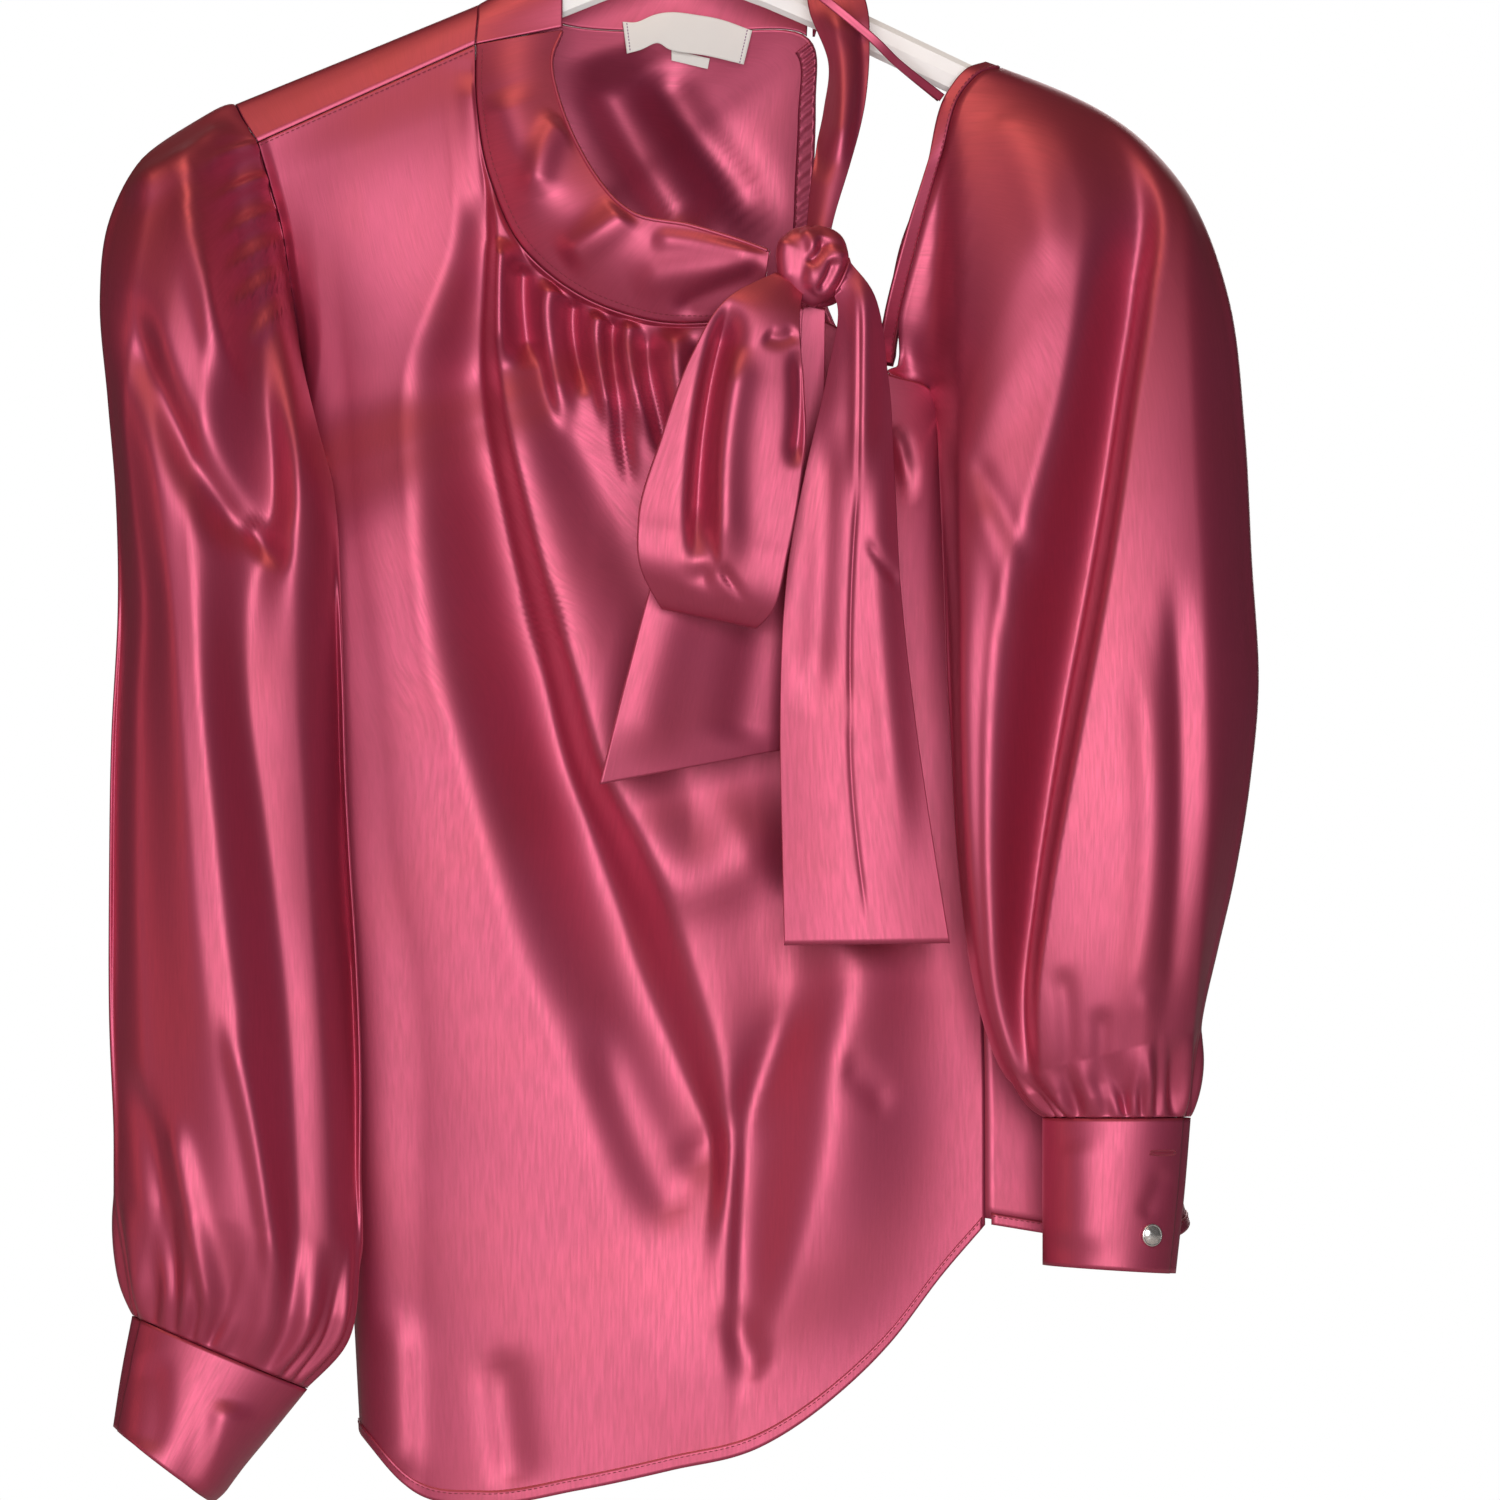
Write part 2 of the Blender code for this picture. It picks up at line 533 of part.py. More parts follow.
def draw_in(points, first_row=0.0, last_row=0.0, first_column=0.0, last_column=0.0):
    """Moves a grid's edges inwards along the cloth by these distances."""
    points = points.copy()
    for axis, at, gap in ((0, 0, first_row), (0, -1, last_row), (1, 0, first_column), (1, -1, last_column)):
        lines = np.moveaxis(points, axis, 0)
        step = lines[1 if at == 0 else -2] - lines[at]
        lines[at] += step / np.linalg.norm(step, axis=-1, keepdims=True) * np.reshape(gap, (-1, 1))
    return points


def grid(rows, across):
    """Two arrays, one of each row's parameter and one of each column's."""
    return np.meshgrid(np.asarray(rows, float), np.asarray(across, float), indexing="ij")


def plain_material(name, colour, roughness, metallic):
    material = bpy.data.materials.new(name)
    material.use_nodes = True
    shader = material.node_tree.nodes["Principled BSDF"]
    shader.inputs["Base Color"].default_value = (*colour, 1)
    shader.inputs["Roughness"].default_value = roughness
    shader.inputs["Metallic"].default_value = metallic
    material.diffuse_color = (*colour, 1)
    return material


def add_mesh(name, points, faces, look, place):
    mesh = bpy.data.meshes.new(name)
    mesh.from_pydata(points.reshape(-1, 3) * MM, [], faces)
    mesh.validate()
    mesh.materials.append(plain_material(name, *look))
    thing = bpy.data.objects.new(name, mesh)
    place.objects.link(thing)
    return thing


def sheet(name, points, wall, look, place, ring_closed=False):
    """One cloth piece: a grid of points with faces, given its wall by Solidify."""
    rows, count = points.shape[:2]
    around = count if ring_closed else count - 1
    faces = [
        (r * count + c, r * count + (c + 1) % count, (r + 1) * count + (c + 1) % count, (r + 1) * count + c)
        for r in range(rows - 1)
        for c in range(around)
    ]
    thing = add_mesh(name, points, faces, look, place)
    thicken = thing.modifiers.new("wall", "SOLIDIFY")
    thicken.thickness = wall * MM
    thicken.offset = 0
    return thing


def closed_body(name, rings, look, place):
    """A solid through closed rings of points, with a flat cap at each end."""
    rows, count = rings.shape[:2]
    faces = [
        (r * count + c, r * count + (c + 1) % count, (r + 1) * count + (c + 1) % count, (r + 1) * count + c)
        for r in range(rows - 1)
        for c in range(count)
    ]
    faces.append(tuple(range(count))[::-1])
    faces.append(tuple((rows - 1) * count + c for c in range(count)))
    thing = add_mesh(name, rings, faces, look, place)
    outward(thing)
    return thing


def outward(thing):
    """Turns a closed mesh's faces to point out."""
    work = bmesh.new()
    work.from_mesh(thing.data)
    bmesh.ops.recalc_face_normals(work, faces=work.faces)
    work.to_mesh(thing.data)
    work.free()


def boolean(thing, other, operation):
    cut = thing.modifiers.new(operation.lower(), "BOOLEAN")
    cut.operation = operation
    cut.solver = "EXACT"
    cut.object = other


def near(value, middle, reach):
    """1 at the middle, fading to 0 at this reach from it."""
    return smooth(1 - np.abs(value - middle) / reach)


def make_body(place):
    """The front and the back take the same levels, so that their side seams match."""
    neck = np.linspace(0, 0.2, 6)
    chest = np.linspace(0.2, 0.52, 15)[1:]
    armpit = np.linspace(ARMPIT_LEVEL, UNDERARM_LEVEL, 3)
    below = np.linspace(UNDERARM_LEVEL, 1, 12)[1:]
    levels = np.concatenate([neck, chest, armpit, below])
    left = 0.4 + 0.9 * near(levels, SIDE_SEAM_TOP, 0.09)
    right = 0.45 + 1.6 * near(levels, 0.55, 0.06)
    level, across = grid(levels, np.linspace(0, 1, 28))
    sheet("front", draw_in(front(across, level), SEAM_GAP, 0, left, right), WALL, SATIN, place)
    level, across = grid(levels, np.linspace(0, 1, 18))
    points = draw_in(back(across, level), SEAM_GAP, 0, left, right)
    sheet("back", points[:, ::-1], WALL, SATIN, place)


def panel_above(shares):
    """The back collar band at these shares of its height, from the neck seam up."""
    across, along = grid(shares, np.linspace(0, 1, 20 if len(shares) < 10 else 200))
    seam = back(np.ones_like(along.T), along.T * NECK_END).transpose(1, 0, 2)
    points = seam + (through(COLLAR_BACK_EDGE, along) - seam) * across[..., None]
    points[..., 1] += 3 * np.sin(np.pi * across) * smooth((along - 0.3) / 0.2)
    return points


def make_collar(place):
    across, along = grid(np.linspace(0, 1, 5), np.linspace(0, 1, 22))
    seam = front(np.ones_like(along), along * COLLAR_LEVEL)
    edge = through(COLLAR_FRONT_EDGE, along)
    points = seam + (edge - seam) * across[..., None]
    points[..., 1] -= 5 * np.sin(np.pi * across)
    sheet("collar_front", draw_in(points, 0.8, 0, 0.3, 0), WALL, SATIN, place)
    sheet("collar_back", draw_in(panel_above(np.linspace(0, 1, 5)), 0.9, 0, 0.3, 0.3), WALL, SATIN, place)


def near_underarm(turns, elsewhere, there, behind):
    """A seam's clear distance round an armhole, wider where the two cloths meet at a sharp angle."""
    there = np.where(turns > np.pi, behind, there)
    return elsewhere + (there - elsewhere) * smooth((1.1 - np.abs(turns - np.pi)) / 0.4)


def make_sleeves(place):
    turns = np.linspace(0, 2 * np.pi, 37)[:-1]
    share, turn = grid(np.concatenate([[0.006], np.linspace(0.03, 0.86, 11), np.linspace(0.9, 1, 6)]), turns)
    clear = near_underarm(turns, 1.2, 4.0, 2.8)
    sheet("sleeve_set_in", draw_in(set_in_sleeve(turn, share), clear, 0.2), WALL, SATIN, place, True)
    start = edge_share(turns, BOUND_WIDTH) * smooth((np.abs(turns - np.pi) - UNDERARM_TURN) / 0.12)
    rows = np.concatenate([[0.0], np.linspace(0.06, 0.86, 11), np.linspace(0.9, 1, 6)])
    share, turn = grid(rows, turns)
    share = np.maximum(share, start + 0.03 * (share > 0))
    clear = near_underarm(turns, SEAM_GAP, 3.8, 6.0)
    sheet("sleeve_open", draw_in(open_sleeve(turn, share), clear, 0.2), WALL, SATIN, place, True)
    make_binding(place)


def edge_share(turns, distance):
    """The share down the open sleeve at which its cloth is this far from its edge."""
    share, turn = grid(np.linspace(0, 0.16, 60), turns)
    points = open_sleeve(turn, share)
    far = np.linalg.norm(points - points[:1], axis=-1)
    return np.array([np.interp(distance, far[:, k], share[:, k]) for k in range(len(turns))])


def make_binding(place):
    """The bound edge, along the open sleeve's edge from the front armpit over the top to the back one."""
    along = np.linspace(-1, 1, 41) * (np.pi - UNDERARM_TURN - 0.18)
    turns = np.where(along < 0, along + 2 * np.pi, along)
    share, turn = grid(np.linspace(0, 1, 3), turns)
    edge = open_sleeve(turn, 0 * turn)
    inner = open_sleeve(turn, edge_share(turns, BOUND_WIDTH) + 0 * turn)
    points = edge + (inner - edge) * (share * (1 - 0.6 / BOUND_WIDTH))[..., None]
    sheet("sleeve_binding", points, BOUND_WALL, SATIN, place)


def make_cuffs(place):
    turns = np.linspace(CUFF_START, CUFF_START + 2 * np.pi + CUFF_OVERLAP, 32)
    share, turn = grid(np.linspace(0, 1, 4), turns)
    for name, rings in (("cuff_left", LEFT_CUFF_RINGS), ("cuff_right", RIGHT_CUFF_RINGS)):
        sheet(name, draw_in(cuff(turn, share, rings), 0.4), WALL, SATIN, place)
    make_button("cuff_button_right", RIGHT_CUFF_RINGS, RIGHT_BUTTON, place)
    make_button("cuff_button_left", LEFT_CUFF_RINGS, LEFT_BUTTON, place)


def make_button(name, rings, place_on_cuff, place):
    """A domed button on the cuff's outside, its axis along the cuff's outward direction."""
    turn, share, height = (np.array(value) for value in place_on_cuff)
    centre, out = ring(turn, share, rings, FLAT_BEHIND)
    side = np.cross(out, (0, 0, 1.0))
    side /= np.linalg.norm(side)
    up = np.cross(side, out)
    angle = np.linspace(0, 2 * np.pi, 17)[:-1]
    spoke = np.cos(angle)[:, None] * side + np.sin(angle)[:, None] * up
    profile = ((0.72, 0.0), (1.0, 0.7), (0.98, 1.5), (0.72, 2.5), (0.3, 3.1))
    base = centre + out * height
    rows = [base + out * rise + spoke * (BUTTON_RADIUS * size) for size, rise in profile]
    closed_body(name, np.array(rows), SILVER, place)


def flat_band(name, rows, folds, counts, place):
    """A strap of the tie: rows from a left to a right point, crowned and folded towards the viewer."""
    along, across = grid(np.linspace(0, 1, counts[0]), np.linspace(0, 1, counts[1]))
    values = through(rows, along)
    points = values[..., :3] + (values[..., 3:6] - values[..., :3]) * across[..., None]
    facing = 1 if rows is not BOW_LOOP_ROWS else smooth((along - 0.52) / 0.06)
    points[..., 1] -= values[..., 6] * np.sin(np.pi * across)
    points[..., 1] -= relief(points[..., 0], points[..., 2], folds) * facing * smooth(along / 0.1)
    return sheet(name, points, WALL, SATIN, place)


def make_tie(place, cutters):
    bands = (
        flat_band("tie_band", TIE_BAND_ROWS, (), (16, 5), place),
        flat_band("bow_loop", BOW_LOOP_ROWS, LOOP_FOLDS, (25, 8), place),
        flat_band("front_tail", FRONT_TAIL_ROWS, FRONT_TAIL_FOLDS, (18, 7), place),
        flat_band("back_tail", BACK_TAIL_ROWS, (), (12, 5), place),
    )
    turn, tilt = grid(np.linspace(0, 2 * np.pi, 21)[:-1], np.linspace(-1.35, 1.35, 11))
    swell = 1 + 0.07 * np.cos(3 * turn + 1.5 * tilt)
    direction = np.stack([np.cos(tilt) * np.cos(turn), np.cos(tilt) * np.sin(turn), np.sin(tilt)], -1)
    points = np.array(KNOT_MIDDLE) + direction * np.array(KNOT_HALF) * swell[..., None]
    closed_body("knot", np.moveaxis(points, 1, 0), SATIN, place)
    grown = np.array(KNOT_MIDDLE) + direction * (np.array(KNOT_HALF) * swell[..., None] + KNOT_CLEARANCE)
    clearance = closed_body("knot_clearance", np.moveaxis(grown, 1, 0), SATIN, cutters)
    clearance.hide_render = True
    clearance.display_type = "WIRE"
    for band in bands + (bpy.data.objects["collar_front"],):
        boolean(band, clearance, "DIFFERENCE")


def ribbon_points(run, width_turn):
    return run[:, None] + np.array([-0.5, 0.5])[None, :, None] * width_turn[:, None] * RIBBON_WIDTH


def make_ribbon(place):
    """The hanging loop: from the sleeve's top, round the hook's stem and back just behind itself."""
    share = np.linspace(0, 1, 15)
    bend = np.linspace(-0.45, 0.45, 9)[1:-1] * 2 * np.pi
    stem = np.stack([-np.cos(bend) * 5.2, np.sin(bend) * 5.2, 0 * bend + RIBBON_FRONT[-1][3]], -1)
    run = np.concatenate([through(RIBBON_FRONT, share), stem, through(RIBBON_BACK, share)])
    along = np.gradient(run, axis=0)
    across = np.stack([-along[:, 2], 0 * along[:, 0], along[:, 0]], -1)
    across[np.abs(along[:, 1]) > 0.8 * np.linalg.norm(along, axis=1)] = (0, 0, 1)
    across *= np.where(across[:, 2:] < 0, -1, 1)
    across /= np.linalg.norm(across, axis=1, keepdims=True)
    sheet("hanging_ribbon", ribbon_points(run, across), RIBBON_WALL, SATIN, place)


def lying_on(points, x, z, out):
    """Points at x and z that lie this far before a panel, given as a dense grid of its points."""
    flat = points.reshape(-1, 3)
    far = (x[..., None] - flat[:, 0]) ** 2 + (z[..., None] - flat[:, 2]) ** 2
    return np.stack([x, flat[far.argmin(-1), 1] - out, z], -1)


def make_label(place):
    level, across = grid(np.linspace(0.1, 0.4, 120), np.linspace(0.4, 1, 160))
    panel = back(across, level).reshape(-1, 3)
    panel = np.concatenate([panel, panel_above(np.linspace(0, 0.4, 20)).reshape(-1, 3)])
    for name, corners, out in (("neck_label", LABEL_CORNERS, 2.1), ("size_tab", TAB_CORNERS, 1.6)):
        down, across = grid(np.linspace(0, 1, 3), np.linspace(0, 1, 6))
        top_left, top_right, bottom_left, bottom_right = (np.array(corner) for corner in corners)
        top = top_left + (top_right - top_left) * across[..., None]
        bottom = bottom_left + (bottom_right - bottom_left) * across[..., None]
        flat = top + (bottom - top) * down[..., None]
        points = lying_on(panel, flat[..., 0], flat[..., 1], 0)
        behind = points[..., 1].copy()
        points[..., 1] = behind[:, :1] + (behind[:, -1:] - behind[:, :1]) * across
        points[..., 1] -= (points[..., 1] - behind).max() + out
        sheet(name, points, LABEL_WALL, WHITE_TAPE, place)


def make_hanger(place, cutters):
    """One moulding: two arched arms of rounded section, and the hook that rises between them."""
    share = np.linspace(0, 1, 10)
    left = through(LEFT_ARM, share)[::-1]
    right = through(RIGHT_ARM, share)[1:]
    top = np.concatenate([left, right])
    angle = np.linspace(0, 2 * np.pi, 11)[:-1]
    slope = np.gradient(top, axis=0)
    slope /= np.linalg.norm(slope, axis=1, keepdims=True)
    ends = np.minimum(1, 0.45 + 0.55 * np.sin(np.linspace(0, np.pi, len(top))) * 3)
    c = np.sign(np.cos(angle)) * np.abs(np.cos(angle)) ** 0.7
    s = np.sign(np.sin(angle)) * np.abs(np.sin(angle)) ** 0.7
    middle = top + np.stack([slope[:, 1], -slope[:, 0]], -1) * (ARM_HEIGHT / 2)
    rings = np.zeros((len(top), len(angle), 3))
    rings[..., 0] = middle[:, None, 0] + slope[:, None, 1] * s * ARM_HEIGHT / 2 * ends[:, None]
    rings[..., 1] = c * ARM_DEPTH / 2 * ends[:, None]
    rings[..., 2] = middle[:, None, 1] - slope[:, None, 0] * s * ARM_HEIGHT / 2 * ends[:, None]
    hanger = closed_body("hanger", rings, WHITE_PLASTIC, place)

    bend = HOOK_BEND + HOOK_WIRE
    curl = np.radians(np.linspace(-32, 200, 15))
    path = [(0, HOOK_STEM_FOOT), (0, HOOK_STEM_FOOT + 12), (0, -bend * 1.95), (bend * 0.38, -bend * 1.62)]
    path += [(bend * np.cos(a), -HOOK_BEND + bend * np.sin(a)) for a in curl]
    curve = bpy.data.curves.new("hook_wire", "CURVE")
    curve.dimensions = "3D"
    line = curve.splines.new("POLY")
    line.points.add(len(path) - 1)
    for spot, (x, z) in zip(line.points, path):
        spot.co = (x * MM, 0, z * MM, 1)
    curve.bevel_depth = HOOK_WIRE * MM
    curve.bevel_resolution = 2
    curve.use_fill_caps = True
    wire = bpy.data.objects.new("hook_wire", curve)
    cutters.objects.link(wire)
    bpy.context.view_layer.update()
    solid = bpy.data.meshes.new_from_object(wire.evaluated_get(bpy.context.evaluated_depsgraph_get()))
    bpy.data.objects.remove(wire)
    hook = bpy.data.objects.new("hook", solid)
    cutters.objects.link(hook)
    outward(hook)
    hook.hide_render = True
    hook.display_type = "WIRE"
    boolean(hanger, hook, "UNION")


def main():
    for thing in list(bpy.data.objects):
        bpy.data.objects.remove(thing)
    blouse = bpy.data.collections.new("tie_neck_blouse")
    cutters = bpy.data.collections.new("cutters")
    for collection in (blouse, cutters):
        bpy.context.scene.collection.children.link(collection)
    make_body(blouse)
    make_collar(blouse)
    make_sleeves(blouse)
    make_cuffs(blouse)
    make_tie(blouse, cutters)
    make_ribbon(blouse)
    make_label(blouse)
    make_hanger(blouse, cutters)


main()
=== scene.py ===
"""Looks of a one-shoulder satin blouse with a tied collar, hung on a moulded hanger."""

import bmesh
import bpy
import numpy as np
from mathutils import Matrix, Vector


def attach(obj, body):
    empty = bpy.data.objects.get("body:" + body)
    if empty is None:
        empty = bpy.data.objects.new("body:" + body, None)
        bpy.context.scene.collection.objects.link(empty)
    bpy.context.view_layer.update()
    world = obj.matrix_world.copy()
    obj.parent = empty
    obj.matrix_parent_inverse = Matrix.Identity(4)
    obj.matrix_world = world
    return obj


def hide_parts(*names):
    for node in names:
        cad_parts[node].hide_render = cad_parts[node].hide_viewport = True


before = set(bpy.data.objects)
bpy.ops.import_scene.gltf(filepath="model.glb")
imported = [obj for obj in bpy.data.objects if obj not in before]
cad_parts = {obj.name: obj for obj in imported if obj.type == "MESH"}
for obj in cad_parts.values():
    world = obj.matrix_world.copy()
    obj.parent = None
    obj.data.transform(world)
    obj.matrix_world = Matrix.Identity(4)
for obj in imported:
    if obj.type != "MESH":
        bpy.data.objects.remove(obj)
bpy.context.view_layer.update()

# Front and back panels. Each is one cut of polyester satin, the front gathered into the collar seam and
# the back brought forward over the closed shoulder. They are sewn at the shoulder and the sides, and the
# shirt-tail hem is turned up twice and stitched.
MM = 0.001
WALL = 0.8  # cloth walls, millimetres like every size below
SEAM_GAP = 0.3
RIGHT_GAP = 0.05  # a panel's right edge nearly touches its neighbour, so that no light shows between
# level, left x, left y, left z, section_end x, half depth, set back of the right end, first turn in degrees
SECTIONS = (
    (0.00, -198, -18, -163, 9, 10, 0, 60),
    (0.08, -192, -20, -183, 28, 24, 0, 50),
    (0.15, -186, -20, -206, 52, 34, 0, 45),
    (0.20, -183, -17, -227, 66, 40, 0, 38),
    (0.27, -179, -10, -258, 80, 46, 0, 30),
    (0.33, -180, 0, -293, 89, 50, 0, 20),
    (0.39, -181, 0, -326, 96, 52, 0, 8),
    (0.45, -180, 0, -359, 103, 53, 0, 0),
    (0.50, -178, 0, -397, 110, 53, 0, 0),
    (0.54, -176, 0, -425, 118, 53, 0, 0),
    (0.58, -173, 0, -453, 124, 53, 0, 0),
    (0.66, -168, 0, -509, 140, 54, 10, 0),
    (0.76, -161, 0, -580, 179, 55, 12, 0),
    (0.88, -155, 0, -674, 212, 56, 13, 0),
    (1.00, -150, 0, -767, 239, 57, 14, 0),
)
# level, right x, right z
FRONT_RIGHT = (
    (0.00, -96, -117),
    (0.08, -95, -147),
    (0.15, -89, -180),
    (0.20, -77, -208),
    (0.27, -47, -235),
    (0.33, -14, -247),
    (0.39, 16, -248),
    (0.45, 47, -243),
    (0.50, 75, -251),
    (0.54, 96, -271),
    (0.58, 118, -280),
    (0.66, 128, -359),
    (0.76, 135, -458),
    (0.88, 142, -571),
    (1.00, 143, -670),
)
# level, left x, left y, left z; from the side seam's top down the back shares the front's left edge
BACK_LEFT = (
    (0.00, -198, -18, -163),
    (0.03, -205, -9, -152),
    (0.06, -209, 0, -145),
    (0.09, -209, 8, -155),
    (0.13, -205, 13, -173),
    (0.18, -199, 17, -202),
    (0.26, -190, 18, -246),
    (0.33, -180, 0, -293),
    (0.39, -181, 0, -326),
)
# level, right x, right z, half depth
BACK_RIGHT = (
    (0.00, -96, -117, -10),
    (0.03, -95, -105, -6),
    (0.06, -94, -98, 0),
    (0.09, -86, -98, 7),
    (0.13, -68, -103, 14),
    (0.18, -47, -108, 18),
    (0.26, 9, -110, 28),
    (0.33, 60, -112, 45),
    (0.39, 64, -145, 48),
    (0.43, 63, -185, 48),
    (0.47, 64, -219, 50),
    (0.50, 74, -249, 50),
    (0.54, 96, -271, 53),
    (0.58, 118, -280, 53),
)
# share of the width, dip below the line between the side seams
HEM_DIP = ((0.0, 0), (0.08, 34), (0.2, 53), (0.35, 61), (0.5, 66), (0.64, 69), (0.76, 57), (0.85, 40),
           (0.93, 17), (1.0, 0))
BACK_HEM_DIP = ((0.0, 0), (0.06, 23), (0.14, 41), (0.26, 47), (0.43, 48), (0.53, 43), (0.6, 26), (0.67, 2),
                (0.75, -25), (0.82, -13), (0.89, 2), (0.95, 4), (1.0, 0))
HEM_POWER = 3.5  # how quickly the hem's dip dies out upwards
BACK_CORNER_DIP = 9
SIDE_SEAM_TOP = 0.33
ARMPIT_LEVEL = 0.54
UNDERARM_LEVEL = 0.58
NECK_END = 0.33
CUT_OUT_LEVELS = (0.335, 0.528)
CUT_OUT_HEM = (0.962, 0.998)  # the shares across the back that its hem takes up
HEM_WIDTH = 4.0
HEM_WALL = 0.5
HEM_LIFT = 0.75  # from a panel's middle to the middle of its turned-up hem
PANEL_DROP = 600  # about the length of a panel's side, which turns the hem's width into levels
FULLNESS = 0.45  # power of a section's sine below the chest
FULL_LEVEL = 0.6
FULL_TURN = 0.15
FOLD_TAPER = 0.22
# start x, start z, middle x, middle z, end x, end z, width to its left, width to its right, height
FRONT_FOLDS = (
    (-42, -571, -19, -636, 5, -667, 12, 9, -3),
    (52, -559, 31, -613, -9, -650, 8, 10, -3),
    (22, -707, 31, -728, 39, -740, 8, 8, -3),
    (76, -595, 87, -603, 99, -616, 5, 6, -2),
    (-132, -707, -131, -754, -130, -791, 12, 9, 3),
    (-85, -726, -81, -763, -76, -796, 9, 12, -3),
    (-35, -472, 9, -509, 52, -458, 16, 22, 5),
    (-83, -208, -85, -232, -85, -271, 4, 6, 9),
    (-73, -219, -74, -239, -70, -271, 5, 5, -9),
    (-58, -229, -62, -250, -51, -303, 4, 6, 8),
    (-48, -235, -50, -253, -43, -284, 3, 4, -7),
    (-36, -243, -39, -260, -29, -303, 3, 5, 7),
    (-30, -244, -31, -271, -22, -331, 3, 4, -6),
    (-22, -246, -24, -265, -12, -307, 3, 4, 5),
    (-14, -248, -13, -279, -2, -317, 4, 5, -7),
    (-2, -250, -1, -274, 7, -317, 5, 5, 5),
    (9, -251, 12, -284, 17, -331, 5, 6, -5),
    (101, -296, 104, -310, 109, -326, 4, 5, -6),
    (95, -271, 106, -274, 118, -279, 1.2, 1.2, -1.5),
    (-97, -129, -96, -162, -91, -203, 7, 4, 2.5),
)
# z, then pairs of x and height towards the viewer: the cowl's drape from the collar down to the hem
FRONT_DRAPE = (
    (-124, -179, 0, -155, 0, -113, 0, -99, 0, -89, 0, -75, 0, -38, 0, 38, 0),
    (-209, -179, 3, -160, 3, -108, 1, -90, -6, -85, 3, -63, -4, -19, -3, 38, -2),
    (-273, -174, 5, -155, 3, -130, 2, -93, -18, -83, 4, -58, -7, -19, -6, 47, 0),
    (-343, -172, 6, -150, 4, -128, 3, -81, -24, -68, 5, -25, -9, 14, -7, 56, -4),
    (-412, -167, 7, -141, 5, -118, 4, -64, -28, -48, 5, -2, -5, 38, -6, 94, 0),
    (-458, -164, 7, -136, 5, -104, 4, -52, -27, -34, 5, 5, -3, 47, -7, 103, 0),
    (-504, -162, 8, -132, 5, -91, 4, -35, -24, -8, 4, 31, 0, 56, -4, 118, 0),
    (-550, -157, 8, -122, 4, -77, 3, -21, -18, 9, 3, 49, -2, 86, 10, 127, 2),
    (-594, -155, 8, -118, 3, -56, 2, -2, -14, 21, 2, 39, -3, 76, 13, 132, 4),
    (-632, -155, 8, -118, 2, -42, 2, 14, -11, 24, 1, 32, -3, 72, 14, 136, 4),
    (-683, -155, 7, -118, 2, -38, 1, 9, -1, 21, 1, 29, -3, 60, 10, 132, 4),
    (-726, -153, 6, -118, 1, -38, 1, 5, 2, 19, 2, 29, 0, 47, 3, 122, 0),
    (-791, -150, 5, -118, 0, -38, 0, 5, 0, 19, 0, 29, 0, 47, 0, 122, 0),
)
BACK_FOLDS = (
    (-41, -119, -19, -166, 12, -209, 12, 20, 11),
    (-14, -124, 9, -162, 45, -206, 9, 12, -7),
    (-56, -237, -66, -378, -99, -519, 22, 30, 8),
    (5, -237, 0, -378, -19, -613, 26, 26, -9),
    (42, -237, 47, -425, 56, -660, 20, 30, 8),
    (-122, -213, -127, -472, -118, -744, 24, 24, -8),
    (94, -321, 118, -472, 132, -679, 24, 24, -9),
    (150, -425, 174, -542, 188, -674, 20, 20, 7),
    (-56, -519, -47, -636, -42, -791, 26, 22, 8),
    (19, -566, 24, -660, 26, -782, 20, 24, -7),
    (-160, -378, -146, -519, -143, -707, 16, 20, 6),
)


def through(table, at):
    """A cubic Hermite curve through the table's rows, whose slopes are the rows' own central differences."""
    rows = np.array(table, float)
    knots, values = rows[:, 0], rows[:, 1:]
    slopes = np.gradient(values, knots, axis=0)
    at = np.clip(np.asarray(at, float), knots[0], knots[-1])
    k = np.clip(np.searchsorted(knots, at, side="right") - 1, 0, len(knots) - 2)
    span = (knots[k + 1] - knots[k])[..., None]
    t = (at - knots[k])[..., None] / span
    start = (2 * t**3 - 3 * t**2 + 1) * values[k] + (t**3 - 2 * t**2 + t) * span * slopes[k]
    end = (3 * t**2 - 2 * t**3) * values[k + 1] + (t**3 - t**2) * span * slopes[k + 1]
    return start + end


def columns(table, at):
    """The same values, one array for each column."""
    return np.moveaxis(through(table, at), -1, 0)


def smooth(value):
    """An S curve from 0 to 1: 3 v squared less 2 v cubed."""
    value = np.clip(value, 0, 1)
    return value * value * (3 - 2 * value)


